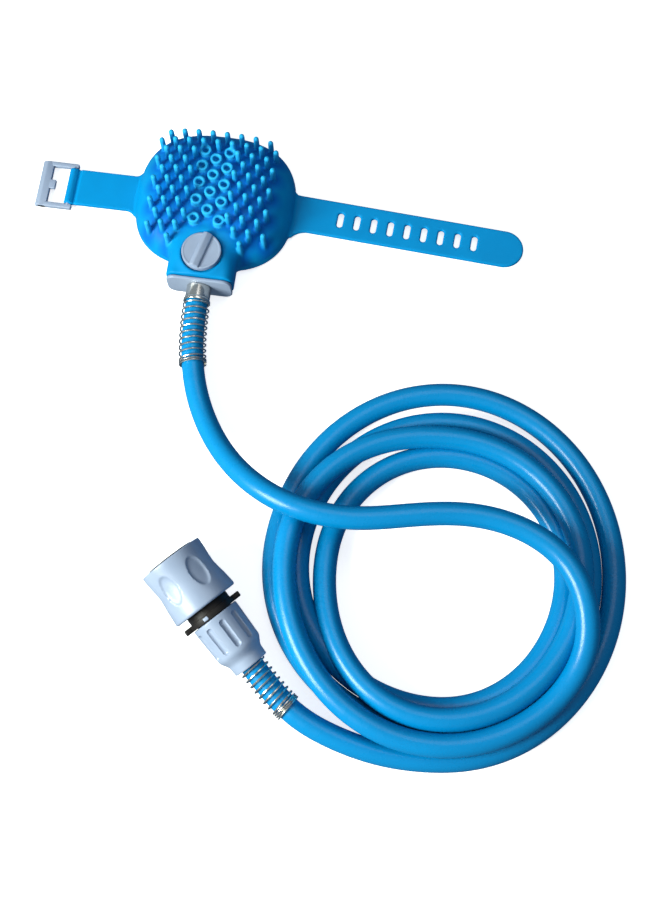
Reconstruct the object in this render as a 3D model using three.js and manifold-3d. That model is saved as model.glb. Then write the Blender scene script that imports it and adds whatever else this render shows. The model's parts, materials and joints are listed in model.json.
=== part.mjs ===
// Handheld bath sprayer: a silicone scrubbing head with a hand strap, a valve knob,
// a hose and a quick connector. Millimetres, +Z up. The palm side of the head lies on
// z = 0, the neck points to -Y and the hand strap runs along X.
import * as THREE from 'three';
import { mergeVertices } from 'three/addons/utils/BufferGeometryUtils.js';
import Module from 'manifold-3d';

const wasm = await Module();
wasm.setup();
const { Manifold } = wasm;

// ---- Driving dimensions -------------------------------------------------------------
const gap = 0.3;                    // between pieces that touch
const head = { halfWidth: 45, halfLength: 41, centreY: -1.5, top: 25.5, base: 2.3 };
const faceRoundness = 2.6;          // superellipse exponent of the outline
const sideRoundness = 2.4;          // superellipse exponent of the side profile
const coverWall = 2.6;
const pad = { scale: 0.61, thickness: 2 };
const chamber = { halfWidth: 34.2, halfLength: 28.2, centreY: 1.1, wall: 2.2, floor: 2.2, top: 12 };
const flangeThickness = 2;          // of the chamber's rim, which closes the palm side
const bossPlaces = [[25, 15], [-25, 15], [25, -13], [-25, -13]];
const bossR = 3.6;
const screwShankR = 1.1;
const gasketThickness = 0.9;
const sprayPlateThickness = 2;
const ring = {
  outerR: 3.3, boreR: 1.8, height: 3.6, pitchX: 13.8, pitchY: 5.2, firstY: 18.6, rows: 9,
  cupDepth: 0.4, holeR: 0.6,
};
const pin = {
  rootR: 1.6, tipR: 1.5, height: 10, rimExtra: 3, pitchX: 8, pitchY: 6.3, firstY: 28, rows: 11,
  furthestX: 36, rimReach: 0.93, fieldHalfWidth: 11, fieldTop: 18, knobClearance: 19.5,
};
const valve = { y: -41, rotorR: 5, bottom: 5.3, shoulder: 13, stemR: 3, stemTop: 21.6, passageR: 2.4 };
const valveBlock = { halfWidth: 9, bottom: 3, top: 16.5, innerY: -27.6, outerY: -50.3 };
const runningClearance = 0.08;
const knob = { radius: 10.8, bottom: 20.4, thickness: 3.6, barWidth: 5.5, barHeight: 3.2, barTurn: -14 };
const bossWall = 2.4;               // of the cover, round the knob
const neck = { halfWidth: 18.5, corner: 6, bottom: 0.8, top: 20, endY: -54.2 };
const plate = { halfWidth: 18, bottom: 0.5, top: 18.5, corner: 5, outerY: -56.5, thickness: 2 };
const inletZ = 9.5;
const hose = { radius: 6, boreR: 4.4, sides: 10 };
const barbR = 4.05;
const inletBarbEnd = 66;            // along the neck, from the head's middle
const outletBarbEnd = 63.8;         // along the connector, from its mouth
const ferrule = { outerR: 6.8, lipR: 7.4, innerR: 6.35, length: 9.2, lip: 2 };
const springWireR = 0.5;
const headSpringTurns = { open: 9.5, closed: 2.5 };
const connectorSpringTurns = { open: 7.5, closed: 3 };
const springR = 7.1;              // to the middle of the wire
const strap = { width: 22, thickness: 2.4, midZ: 3.5, rootX: 48.5, rootY: -1.5, longYaw: -3.5 };
const slot = { first: 22.9, pitch: 9.54, count: 9, width: 3.2, length: 9 };
const longStrap = { hinges: [0, 37.2, 75.4], length: 127 };
const shortStrap = { hemX: 35, hemR: 2.4 };
const buckle = {
  barR: 1.3, end: 53.5, crossBar: 6.5, armInner: 11.4, armOuter: 14.2, armOverhang: 1, thickness: 3.2,
  prongLength: 3, prongHalfWidth: 2.7, prongThickness: 2,
};

// The connector is turned about its own axis: z = 0 at its mouth, growing towards the hose.
const connector = { mouth: [12.2, -210.7, 23.5], yaw: -44, pitch: 11 };
const sleeve = {
  frontR: 17.3, waistR: 16.7, rearR: 18, length: 29.5, boreR: 13.1, ribR: 12.3, chamberR: 14.9,
};
const body = {
  collarR: 12.7, collarEnd: 12, neckR: 11.9, ridge: 24.5, ridgeR: 14.5, flange: 33.2, flangeR: 13.2,
};
const socket = { radius: 8.2, depth: 20 };
const recess = { count: 6, phase: 24, halfWidth: 4.4, depth: 1.5, halfLength: 6.6, z: 14 };
const lug = { reach: 16.7, width: 5.5, thickness: 3 };
const nut = { start: 36.5, length: 30, frontR: 12.9, shoulderR: 12.2, rearR: 9.4, flutes: 10 };

// The hose lies in an oval coil. Inset is measured inwards from its outermost strand.
const coil = { x: 149.5, y: -195.3, halfWidth: 88, halfLength: 95.3, height: 22.4, strands: 3 };
const strandPitch = 2 * hose.radius + 0.15;

// Hose route from the head up and over the coil, then down onto it.
const leadRoute = [
  [0, -57.1, 9.5], [0.3, -79, 9.2], [2.8, -99.5, 8.2], [7.5, -116, 7.4], [16.5, -134, 8.4],
  [30, -152, 14.5], [47, -167, 24], [68, -177.5, 30], [100, -180.5, 30.2], [130, -174, 29.8],
  [159, -169.7, 29.6], [188, -174.5, 29.8], [210, -188.5, 29.7], [219.5, -207.5, 30.2], [222.5, -230, 23.6],
];
// Hose route from the connector's spring to the foot of the coil.
const tailRoute = [
  [69, -265.6, 9.2], [80.5, -276, 7.7], [92, -281.8, 6.9], [104, -285.6, 6.3], [119, -289.4, 6.2],
  [136, -291.2, 6.2], [152, -290.6, 6.2],
];

const colours = {
  silicone: 0x1a9be0, hose: 0x0a7fd0, greyPlastic: 0xaab9dc, blackPlastic: 0x1b1a1c, steel: 0xc9c6bd,
  brass: 0xc8a860, rubber: 0x2b2b2e, whitePlastic: 0xe8ebf2,
};

// ---- Solid helpers ------------------------------------------------------------------
function signedVolume(geometry) {
  const p = geometry.attributes.position;
  const index = geometry.index.array;
  const [a, b, c] = [new THREE.Vector3(), new THREE.Vector3(), new THREE.Vector3()];
  let volume = 0;
  for (let i = 0; i < index.length; i += 3) {
    a.fromBufferAttribute(p, index[i]);
    b.fromBufferAttribute(p, index[i + 1]);
    c.fromBufferAttribute(p, index[i + 2]);
    volume += a.dot(b.cross(c)) / 6;
  }
  return volume;
}

// Turns a closed three.js surface into a solid that faces out.
function solid(geometry) {
  const bare = geometry.clone();
  bare.deleteAttribute('normal');
  bare.deleteAttribute('uv');
  const merged = mergeVertices(bare, 1e-4);
  const index = Uint32Array.from(merged.index.array);
  if (signedVolume(merged) < 0) {
    for (let i = 0; i < index.length; i += 3) {
      [index[i], index[i + 1]] = [index[i + 1], index[i]];
    }
  }
  const vertProperties = Float32Array.from(merged.attributes.position.array);
  return new Manifold(new wasm.Mesh({ numProp: 3, vertProperties, triVerts: index }));
}

// The other way: a solid back to a three.js surface.
function toGeometry(manifold) {
  const mesh = manifold.getMesh();
  const geometry = new THREE.BufferGeometry();
  const positions = Float32Array.from(mesh.vertProperties);
  geometry.setAttribute('position', new THREE.BufferAttribute(positions, 3));
  geometry.setIndex(new THREE.BufferAttribute(Uint32Array.from(mesh.triVerts), 1));
  geometry.computeVertexNormals();
  return geometry;
}

// The union of some solids.
function joined(solids) {
  return solids.reduce((whole, next) => whole.add(next));
}

function cut(whole, tools) {
  return tools.reduce((rest, tool) => rest.subtract(tool), whole);
}

// A body of revolution about Z from [radius, z] pairs; a profile off the axis is closed here.
function turned(profile, segments = 24) {
  const onAxis = profile[0][0] === 0 && profile[profile.length - 1][0] === 0;
  const loop = onAxis ? profile : [...profile, profile[0]];
  const geometry = new THREE.LatheGeometry(loop.map(([r, z]) => new THREE.Vector2(r, z)), segments);
  return geometry.rotateX(Math.PI / 2);
}

function cylinder(radius, z0, z1, segments = 24) {
  return turned([[0, z0], [radius, z0], [radius, z1], [0, z1]], segments);
}

function box(x0, x1, y0, y1, z0, z1) {
  const geometry = new THREE.BoxGeometry(x1 - x0, y1 - y0, z1 - z0);
  return geometry.translate((x0 + x1) / 2, (y0 + y1) / 2, (z0 + z1) / 2);
}

function roundedRectangle(x0, x1, y0, y1, r) {
  const shape = new THREE.Shape();
  shape.absarc(x1 - r, y1 - r, r, 0, Math.PI / 2);
  shape.absarc(x0 + r, y1 - r, r, Math.PI / 2, Math.PI);
  shape.absarc(x0 + r, y0 + r, r, Math.PI, 1.5 * Math.PI);
  shape.absarc(x1 - r, y0 + r, r, 1.5 * Math.PI, 2 * Math.PI);
  return shape;
}

function extruded(shape, depth, curveSegments = 4) {
  return new THREE.ExtrudeGeometry(shape, { depth, bevelEnabled: false, curveSegments });
}

// A cylinder along -Y, from y0 down to y1, at the height of the water inlet.
function alongNeck(profile, segments = 20) {
  return turned(profile, segments).rotateX(Math.PI / 2).translate(0, 0, inletZ);
}

function torus(ringR, tubeR, z) {
  return new THREE.TorusGeometry(ringR, tubeR, 6, 16).translate(0, 0, z);
}

function polygonShape(radius, sides) {
  const shape = new THREE.Shape();
  for (let i = 0; i < sides; i += 1) {
    const angle = (2 * Math.PI * (i + 0.5)) / sides;
    shape[i ? 'lineTo' : 'moveTo'](radius * Math.cos(angle), radius * Math.sin(angle));
  }
  return shape;
}

function tube(curve, radius, steps, sides) {
  return new THREE.ExtrudeGeometry(polygonShape(radius, sides), { steps, extrudePath: curve });
}

function smoothCurve(points) {
  return new THREE.CatmullRomCurve3(points.map((p) => new THREE.Vector3(...p)), false, 'centripetal');
}

// ---- Head surface -------------------------------------------------------------------
// 0 at the head's centre and 1 on its outline.
function reach(x, y, halfWidth, halfLength, centreY) {
  const across = Math.abs(x / halfWidth) ** faceRoundness;
  const along = Math.abs((y - centreY) / halfLength) ** faceRoundness;
  return (across + along) ** (1 / faceRoundness);
}

function faceReach(x, y) {
  return reach(x, y, head.halfWidth, head.halfLength, head.centreY);
}

function faceHeight(x, y) {
  const s = Math.min(1, faceReach(x, y));
  return head.top * (1 - s ** sideRoundness) ** (1 / sideRoundness);
}

// Stretches a unit-radius turned body to the head's outline.
function toOutline(geometry, halfWidth, halfLength, centreY) {
  const p = geometry.attributes.position;
  for (let i = 0; i < p.count; i += 1) {
    const [x, y] = [p.getX(i), p.getY(i)];
    const radius = Math.hypot(x, y);
    const s = reach(halfWidth * x, halfLength * y + centreY, halfWidth, halfLength, centreY);
    const stretch = radius > 1e-6 ? radius / s : 0;
    p.setXY(i, x * halfWidth * stretch, centreY + y * halfLength * stretch);
  }
  return geometry;
}

function dome(halfWidth, halfLength, top, base, segments, levels) {
  const profile = [[0, base]];
  for (let i = 0; i <= levels; i += 1) {
    const angle = (Math.PI / 2) * (i / levels);
    const s = i === levels ? 0 : Math.cos(angle) ** (2 / sideRoundness);
    profile.push([s, Math.max(base, top * Math.sin(angle) ** (2 / sideRoundness))]);
  }
  return toOutline(turned(profile, segments), halfWidth, halfLength, head.centreY);
}

// A flat slab with the head's outline, from z0 to z1.
function slab(halfWidth, halfLength, centreY, z0, z1, segments = 28) {
  return toOutline(cylinder(1, z0, z1, segments), halfWidth, halfLength, centreY);
}

function ringCentres() {
  const centres = [];
  for (let row = 0; row < ring.rows; row += 1) {
    const y = ring.firstY - row * ring.pitchY;
    const columns = row % 2 ? [0] : [-ring.pitchX / 2, ring.pitchX / 2];
    columns.forEach((x) => centres.push([x, y]));
  }
  return centres;
}

// Staggered rows that leave the spray field, the head's rim and the knob's apron clear.
function pinCentres() {
  const centres = [];
  for (let row = 0; row < pin.rows; row += 1) {
    const y = pin.firstY - row * pin.pitchY;
    const firstX = row % 2 ? 0 : pin.pitchX / 2;
    for (let x = firstX; x <= pin.furthestX; x += pin.pitchX) {
      const inSprayField = x < pin.fieldHalfWidth && y < pin.fieldTop;
      const onRim = faceReach(x, y) > pin.rimReach;
      const nearKnob = Math.hypot(x, y - valve.y) < pin.knobClearance;
      if (!inSprayField && !onRim && !nearKnob) {
        centres.push([x, y]);
        if (x > 0) centres.push([-x, y]);
      }
    }
  }
  return centres;
}

// Pins are longer towards the rim, so that their tips lie flatter than the face.
function pinSolid([x, y]) {
  const root = faceHeight(x, y) - 1;
  const tip = root + 1 + pin.height + pin.rimExtra * faceReach(x, y) ** 3;
  const profile = [[0, root], [pin.rootR, root], [pin.tipR, tip - pin.tipR], [0, tip]];
  return solid(turned(profile, 5).translate(x, y, 0));
}

// ---- Straps -------------------------------------------------------------------------
// Strap pieces are drawn along +X from the root hinge, then placed on their side of the head.
function placeStrap(geometry, side) {
  if (side > 0) geometry.rotateZ(THREE.MathUtils.degToRad(strap.longYaw));
  else geometry.rotateZ(Math.PI);
  return geometry.translate(side * strap.rootX, strap.rootY, strap.midZ);
}

function crossBar(radius, x, halfLength, segments = 16) {
  return cylinder(radius, -halfLength, halfLength, segments).rotateX(Math.PI / 2).translate(x, 0, 0);
}

function strapSlab(x0, x1, holes = [], tipR = 0) {
  const w = strap.width / 2;
  const shape = new THREE.Shape();
  shape.moveTo(x0, -w);
  shape.lineTo(x1 - tipR, -w);
  if (tipR) shape.absarc(x1 - tipR, 0, tipR, -Math.PI / 2, Math.PI / 2);
  else shape.lineTo(x1, w);
  shape.lineTo(x0, w);
  holes.forEach((x) => {
    const r = slot.width / 2;
    const hole = new THREE.Path();
    hole.absarc(x, slot.length / 2 - r, r, 0, Math.PI);
    hole.absarc(x, r - slot.length / 2, r, Math.PI, 2 * Math.PI);
    shape.holes.push(hole);
  });
  const curveSegments = tipR ? 5 : 4;
  return extruded(shape, strap.thickness, curveSegments).translate(0, 0, -strap.thickness / 2);
}

// Each strap length starts with a round nose on its hinge line and ends flat before the next.
function strapLength(hingeX, endX, holes = [], tipR = 0) {
  const nose = solid(crossBar(strap.thickness / 2, hingeX, strap.width / 2, 12));
  return nose.add(solid(strapSlab(hingeX, endX, holes, tipR)));
}

function longStrapPieces() {
  const { hinges, length } = longStrap;
  const endBeforeNext = strap.thickness / 2 + gap;
  return hinges.map((hinge, i) => {
    const last = i === hinges.length - 1;
    const end = last ? length : hinges[i + 1] - endBeforeNext;
    const holes = [];
    for (let k = 0; k < slot.count; k += 1) {
      const x = slot.first + k * slot.pitch;
      if (x > hinge && x < end) holes.push(x);
    }
    const piece = toGeometry(strapLength(hinge, end, holes, last ? strap.width / 2 : 0));
    return placeStrap(piece, 1);
  });
}

function shortStrapPiece() {
  const { hemX, hemR } = shortStrap;
  const hem = solid(crossBar(hemR, hemX, strap.width / 2));
  const bore = solid(crossBar(buckle.barR + runningClearance, hemX, strap.width));
  const whole = strapLength(0, hemX - hemR / 2).add(hem).subtract(bore);
  return placeStrap(toGeometry(whole), -1);
}

function bucklePiece() {
  const { barR, end, armInner, armOuter, thickness, prongHalfWidth, prongThickness } = buckle;
  const [hemX, t, prongT] = [shortStrap.hemX, thickness / 2, prongThickness / 2];
  const barStart = end - buckle.crossBar;
  const armStart = hemX - barR - buckle.armOverhang;
  const prongStart = barStart - buckle.prongLength;
  const frame = [
    solid(box(barStart, end, -armOuter, armOuter, -t, t)),
    solid(box(armStart, end, armInner, armOuter, -t, t)),
    solid(box(armStart, end, -armOuter, -armInner, -t, t)),
    solid(crossBar(barR, hemX, armInner + 1)),
    solid(box(prongStart, end - 1, -prongHalfWidth, prongHalfWidth, -prongT, prongT)),
  ];
  return placeStrap(toGeometry(joined(frame)), -1);
}

const stubLength = 4.6;

// The strap's root on the head, which ends just before the strap's own hinge.
function strapStub(side) {
  const end = -(strap.thickness / 2 + gap);
  const half = strap.thickness / 2;
  const w = strap.width / 2;
  return solid(placeStrap(box(end - stubLength, end, -w, w, -half, half), side));
}

// ---- Head pieces --------------------------------------------------------------------
// The chamber, its gasket and the spray plate lie on one another above the palm pad.
const chamberBottom = pad.thickness + gap;
const gasketBottom = chamber.top + gap;
const sprayPlateBottom = gasketBottom + gasketThickness + gap;
const sprayPlateTop = sprayPlateBottom + sprayPlateThickness;

// A cup inside each ring, with a fine hole at its floor through to the water.
function sprayHole([x, y]) {
  const cupFloor = faceHeight(x, y) - ring.cupDepth;
  const cup = solid(cylinder(ring.boreR, cupFloor, head.top + ring.height + 1, 8));
  const hole = solid(cylinder(ring.holeR, sprayPlateTop, head.top, 6));
  return cup.add(hole).translate([x, y, 0]);
}

function headCover() {
  const { halfWidth, halfLength, top, base } = head;
  const hollow = dome(halfWidth - coverWall, halfLength - coverWall, top - coverWall, base - 1, 28, 6);
  const shell = solid(dome(halfWidth, halfLength, top, base, 40, 8)).subtract(solid(hollow));
  const neckShape = roundedRectangle(-neck.halfWidth, neck.halfWidth, neck.bottom, neck.top, neck.corner);
  const neckLength = -neck.endY + valve.y + knob.radius;
  const neckBlock = solid(extruded(neckShape, neckLength).rotateX(Math.PI / 2)
    .translate(0, neck.endY + neckLength, 0));
  const bossTop = knob.bottom + 0.6;
  const boss = solid(cylinder(knob.radius + bossWall, base, bossTop, 28).translate(0, valve.y, 0));
  const outside = joined([
    shell, neckBlock, boss, strapStub(1), strapStub(-1),
    ...ringCentres().map(([x, y]) => solid(cylinder(
      ring.outerR, faceHeight(x, y) - 2, faceHeight(x, y) + ring.height, 10,
    ).translate(x, y, 0))),
    ...pinCentres().map(pinSolid),
  ]);
  const w = valveBlock.halfWidth + gap;
  const roomEnd = valveBlock.innerY + 2 * gap;
  return toGeometry(cut(outside, [
    solid(cylinder(knob.radius + 0.5, knob.bottom - 0.4, top, 28).translate(0, valve.y, 0)),
    solid(box(-w, w, neck.endY - 1, roomEnd, valveBlock.bottom, valveBlock.top)),
    solid(cylinder(valve.stemR + 1, valveBlock.bottom, top, 16).translate(0, valve.y, 0)),
    ...ringCentres().map(sprayHole),
  ]));
}

// The tray's rim reaches the cover's wall, but leaves room for the neck and the knob's boss.
function chamberFlange() {
  const edge = coverWall + 3 * gap;
  const neckEdge = neck.halfWidth + gap;
  const rim = slab(
    head.halfWidth - edge, head.halfLength - edge, head.centreY,
    chamberBottom, chamberBottom + flangeThickness,
  );
  const neckInnerY = valve.y + knob.radius + gap;
  const valveEdge = valveBlock.halfWidth + gap;
  return cut(solid(rim), [
    solid(box(-neckEdge, neckEdge, neck.endY, neckInnerY, 0, chamber.top)),
    solid(box(-valveEdge, valveEdge, neck.endY, valveBlock.innerY + gap, 0, chamber.top)),
    solid(cylinder(knob.radius + bossWall + gap, 0, chamber.top, 28).translate(0, valve.y, 0)),
  ]);
}

function waterChamber() {
  const { halfWidth, halfLength, centreY, wall, floor, top } = chamber;
  const bottom = chamberBottom;
  const tray = solid(slab(halfWidth, halfLength, centreY, bottom, top)).add(chamberFlange())
    .subtract(solid(slab(halfWidth - wall, halfLength - wall, centreY, bottom + floor, top + 1)));
  const bosses = bossPlaces.map(([x, y]) => solid(cylinder(bossR, bottom, top, 12).translate(x, y, 0)));
  const holes = bossPlaces.map(([x, y]) => solid(
    cylinder(screwShankR + gap, bottom + floor, top + 1, 10).translate(x, y, 0),
  ));
  const inlet = solid(alongNeck([[0, 20], [valve.passageR, 20], [valve.passageR, 30], [0, 30]], 12));
  return toGeometry(cut(joined([tray, ...bosses]), [...holes, inlet]));
}

function chamberGasket() {
  const { halfWidth, halfLength, centreY, wall } = chamber;
  const [z0, z1] = [gasketBottom, gasketBottom + gasketThickness];
  const inset = 0.2;
  const outer = solid(slab(halfWidth - inset, halfLength - inset, centreY, z0, z1));
  return toGeometry(outer.subtract(
    solid(slab(halfWidth - wall, halfLength - wall, centreY, z0 - 1, z1 + 1)),
  ));
}

function sprayPlate() {
  const { halfWidth, halfLength, centreY } = chamber;
  const deck = solid(slab(halfWidth - 1, halfLength - 1, centreY, sprayPlateBottom, sprayPlateTop));
  const holes = ringCentres().map(([x, y]) => solid(
    cylinder(ring.holeR, 0, head.top, 6).translate(x, y, 0),
  ));
  const screwHoles = bossPlaces.map(([x, y]) => solid(
    cylinder(screwShankR + gap, 0, head.top, 10).translate(x, y, 0),
  ));
  return toGeometry(cut(deck, [...holes, ...screwHoles]));
}

function chamberScrew([x, y]) {
  const [tip, seat] = [7, sprayPlateTop + gap];
  const headR = 2.3;
  const profile = [
    [0, tip], [screwShankR, tip + 0.8], [screwShankR, seat], [headR, seat], [headR, seat + 1],
    [0, seat + 1.4],
  ];
  return turned(profile, 12).translate(x, y, 0);
}

function palmPad() {
  const { halfWidth, halfLength, centreY } = head;
  const [a, b, t] = [halfWidth * pad.scale, halfLength * pad.scale, pad.thickness];
  const profile = [[0, 0], [0.97, 0], [1, 0.6], [1, t], [0, t]];
  return toOutline(turned(profile, 40), a, b, centreY);
}

function valveBody() {
  const { halfWidth, innerY, outerY } = valveBlock;
  const [z0, z1] = [valveBlock.bottom + gap, valveBlock.top - gap];
  const rotorBoreR = valve.rotorR + runningClearance;
  const block = solid(box(-halfWidth, halfWidth, outerY, innerY, z0, z1));
  return toGeometry(cut(block, [
    solid(cylinder(rotorBoreR, valve.bottom - gap, z1 + 1, 32).translate(0, valve.y, 0)),
    solid(alongNeck([[0, 25], [valve.passageR, 25], [valve.passageR, 55], [0, 55]], 12)),
    solid(alongNeck([[0, 46.5], [4.3, 46.5], [4.3, 55], [0, 55]])),
  ]));
}

function valveRotor() {
  const { rotorR, bottom, shoulder, stemR, stemTop } = valve;
  const profile = [
    [0, bottom], [rotorR, bottom], [rotorR, shoulder], [stemR, shoulder], [stemR, stemTop], [0, stemTop],
  ];
  const port = cylinder(valve.passageR, -10, 10, 12).rotateX(Math.PI / 2).translate(0, 0, inletZ);
  return toGeometry(solid(turned(profile, 32)).subtract(solid(port))).translate(0, valve.y, 0);
}

function knobPiece() {
  const { radius, bottom, thickness, barWidth, barHeight, barTurn } = knob;
  const top = bottom + thickness;
  const disc = solid(turned([
    [0, bottom], [radius - 0.4, bottom], [radius, bottom + 0.6], [radius, top], [radius - 1.2, top],
    [radius - 1.4, top - 0.5], [0, top - 0.5],
  ], 36));
  const half = barWidth / 2;
  const section = new THREE.Shape();
  section.moveTo(-half, 0);
  section.lineTo(half, 0);
  section.lineTo(half - 0.7, barHeight);
  section.lineTo(0.3 - half, barHeight);
  const barLength = 2 * (radius - 0.3);
  const bar = solid(extruded(section, barLength).rotateX(Math.PI / 2)
    .translate(0, barLength / 2, top - 0.8)
    .rotateZ(THREE.MathUtils.degToRad(barTurn)));
  const stemSocket = solid(cylinder(valve.stemR + gap, bottom - 1, valve.stemTop + gap, 16));
  return toGeometry(disc.add(bar).subtract(stemSocket)).translate(0, valve.y, 0);
}

function neckPlate() {
  const shape = roundedRectangle(-plate.halfWidth, plate.halfWidth, plate.bottom, plate.top, plate.corner);
  const hole = new THREE.Path();
  hole.absarc(0, inletZ, barbR + gap, 0, 2 * Math.PI);
  shape.holes.push(hole);
  return extruded(shape, plate.thickness, 6).rotateX(Math.PI / 2)
    .translate(0, plate.outerY + plate.thickness, 0);
}

// Profiles along the neck are [radius, distance towards the hose from the head's middle].
function inletBarb() {
  const boreR = 2.2;
  const collar = [50.6, 52.8];
  const profile = [
    [boreR, 46.8], [4, 46.8], [4, collar[0]], [6, collar[0]], [6, collar[1]], [4, collar[1]], [4, 57.6],
    [3.5, 57.8], [barbR, 60.6], [3.5, 60.7], [barbR, 63.5], [3.5, 63.6], [3.2, inletBarbEnd],
    [boreR, inletBarbEnd],
  ];
  return alongNeck(profile, 16);
}

function headFerrule() {
  const start = -plate.outerY + gap;
  const end = start + ferrule.length;
  return alongNeck([
    [ferrule.innerR, start], [ferrule.outerR - 0.5, start], [ferrule.outerR, start + 0.6],
    [ferrule.outerR, end - ferrule.lip], [ferrule.lipR, end - ferrule.lip + 0.4], [ferrule.lipR, end],
    [ferrule.innerR, end],
  ], 24);
}

// ---- Springs and hose ---------------------------------------------------------------
// A coil spring around a curve: open turns first, then the closed ones at its end.
function springAlong(curve, from, to, { open, closed }) {
  const length = curve.getLength();
  const closedPitch = 2 * springWireR + gap;
  const openLength = to - from - closed * closedPitch;
  const turns = open + closed;
  const stepsPerTurn = 9;
  const steps = Math.round(turns * stepsPerTurn);
  const points = [];
  for (let i = 0; i <= steps; i += 1) {
    const turn = (i / steps) * turns;
    const distance = turn < open
      ? (turn / open) * openLength
      : openLength + (turn - open) * closedPitch;
    const u = (from + distance) / length;
    const centre = curve.getPointAt(u);
    const tangent = curve.getTangentAt(u);
    const side = new THREE.Vector3(0, 0, 1).cross(tangent).normalize();
    const up = tangent.clone().cross(side);
    const angle = 2 * Math.PI * turn;
    points.push(centre.addScaledVector(side, springR * Math.cos(angle))
      .addScaledVector(up, springR * Math.sin(angle)));
  }
  return tube(new THREE.CatmullRomCurve3(points), springWireR, steps, 4);
}

const leadCurve = smoothCurve(leadRoute);
const leadLength = leadCurve.getLength();
const leadOnCoil = 66;              // how much of the lead's end lies on the coil
const headSpringStart = ferrule.length + 0.3;
const headSpringEnd = 44.5;

// The stretch of a curve between two distances, as a tube.
function stretch(curve, from, to, steps) {
  const length = curve.getLength();
  const part = new THREE.Curve();
  part.getPoint = (t, target) => curve.getPointAt((from + (to - from) * t) / length, target);
  return tube(part, hose.radius, steps, hose.sides);
}

function hoseLead() {
  const whole = solid(stretch(leadCurve, 0, leadLength - leadOnCoil, 20));
  const [boreStart, boreEnd] = [50, inletBarbEnd + 2 * gap];
  const bore = solid(alongNeck([
    [0, boreStart], [hose.boreR, boreStart], [hose.boreR, boreEnd], [0, boreEnd],
  ], 12));
  return toGeometry(whole.subtract(bore));
}

const connectorYaw = THREE.MathUtils.degToRad(connector.yaw);
const connectorPitch = THREE.MathUtils.degToRad(connector.pitch);
const connectorAxis = new THREE.Vector3(
  Math.cos(connectorYaw) * Math.cos(connectorPitch),
  Math.sin(connectorYaw) * Math.cos(connectorPitch),
  -Math.sin(connectorPitch),
);
const connectorMouth = new THREE.Vector3(...connector.mouth);

function onConnectorAxis(distance) {
  return connectorMouth.clone().addScaledVector(connectorAxis, distance).toArray();
}

const barbStart = 52;
const hoseStart = barbStart + gap;
const tailCurve = smoothCurve([
  onConnectorAxis(hoseStart), onConnectorAxis(nut.start + nut.length), ...tailRoute,
]);
const tailLength = tailCurve.getLength();
const tailOnCoil = 76;

function hoseTail() {
  const whole = solid(stretch(tailCurve, 0, tailLength - tailOnCoil, 12));
  const boreEnd = outletBarbEnd + 3 * gap;
  const bore = solid(placeConnector(cylinder(hose.boreR, hoseStart - 2, boreEnd, 12)));
  return toGeometry(whole.subtract(bore));
}

function hoseCoil() {
  const inner = (coil.strands - 1) * strandPitch + hose.radius;
  const shoulder = hose.radius + 3;
  const floorZ = 0.2;
  const section = [
    [-hose.radius, floorZ], [inner, floorZ], [inner, shoulder], [inner - 10, coil.height],
    [4, coil.height], [-hose.radius, shoulder],
  ];
  const oval = turned(section.map(([inset, z]) => [coil.halfWidth - inset, z]), 40);
  const p = oval.attributes.position;
  const longer = coil.halfLength - coil.halfWidth;
  for (let i = 0; i < p.count; i += 1) {
    const radius = Math.hypot(p.getX(i), p.getY(i));
    p.setY(i, (p.getY(i) / radius) * (radius + longer));
  }
  return toGeometry(joined([
    solid(oval.translate(coil.x, coil.y, 0)),
    solid(stretch(leadCurve, leadLength - leadOnCoil + gap, leadLength, 6)),
    solid(stretch(tailCurve, tailLength - tailOnCoil + gap, tailLength, 4)),
  ]));
}

// ---- Connector pieces ---------------------------------------------------------------
function placeConnector(geometry) {
  const across = new THREE.Vector3(-Math.sin(connectorYaw), Math.cos(connectorYaw), 0);
  const frame = new THREE.Matrix4().makeBasis(across, connectorAxis.clone().cross(across), connectorAxis);
  frame.setPosition(connectorMouth);
  return geometry.applyMatrix4(frame);
}

function releaseSleeve() {
  const { frontR, waistR, rearR, length, boreR, ribR, chamberR } = sleeve;
  const shell = solid(turned([
    [boreR, 0], [frontR - 0.5, 0], [frontR, 0.6], [waistR + 0.1, 8], [waistR, 14], [waistR + 0.5, 21],
    [rearR, length - 1.2], [rearR - 0.6, length], [chamberR, length], [chamberR, 14], [ribR, 14],
    [ribR, 12.4], [boreR, 12.4],
  ], 30));
  const recesses = [];
  for (let i = 0; i < recess.count; i += 1) {
    const turn = THREE.MathUtils.degToRad(recess.phase + (360 / recess.count) * i);
    const scoop = new THREE.SphereGeometry(1, 8, 6)
      .scale(recess.halfWidth, recess.depth, recess.halfLength)
      .translate(0, waistR + 0.4, recess.z);
    recesses.push(solid(scoop.rotateZ(-turn)));
  }
  return placeConnector(toGeometry(cut(shell, recesses)));
}

function connectorBody() {
  const { collarR, collarEnd, neckR, ridge, ridgeR, flange, flangeR } = body;
  const flangeEnd = flange + lug.thickness;
  const [threadR, threadEnd, tailR, boreR] = [10.2, 50, 3.6, 2.8];
  const core = solid(turned([
    [socket.radius, -0.8], [collarR, -0.8], [collarR, collarEnd], [neckR, collarEnd], [neckR, ridge],
    [ridgeR, ridge], [ridgeR, ridge + 1.5], [neckR, ridge + 2.5], [neckR, flange], [flangeR, flange],
    [flangeR, flangeEnd], [threadR, flangeEnd], [threadR, threadEnd], [tailR, threadEnd],
    [tailR, barbStart + 1], [barbR, 56], [tailR, 56.2], [barbR, 60], [tailR, 60.2],
    [3.2, outletBarbEnd], [boreR, outletBarbEnd], [boreR, socket.depth], [socket.radius, socket.depth],
  ], 24));
  const half = lug.width / 2;
  const lugs = [1, -1].map((side) => {
    const [near, far] = [side * (threadR + 1), side * lug.reach].sort((a, b) => a - b);
    return solid(box(near, far, -half, half, flange, flangeEnd));
  });
  return placeConnector(toGeometry(joined([core, ...lugs])));
}

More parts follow.
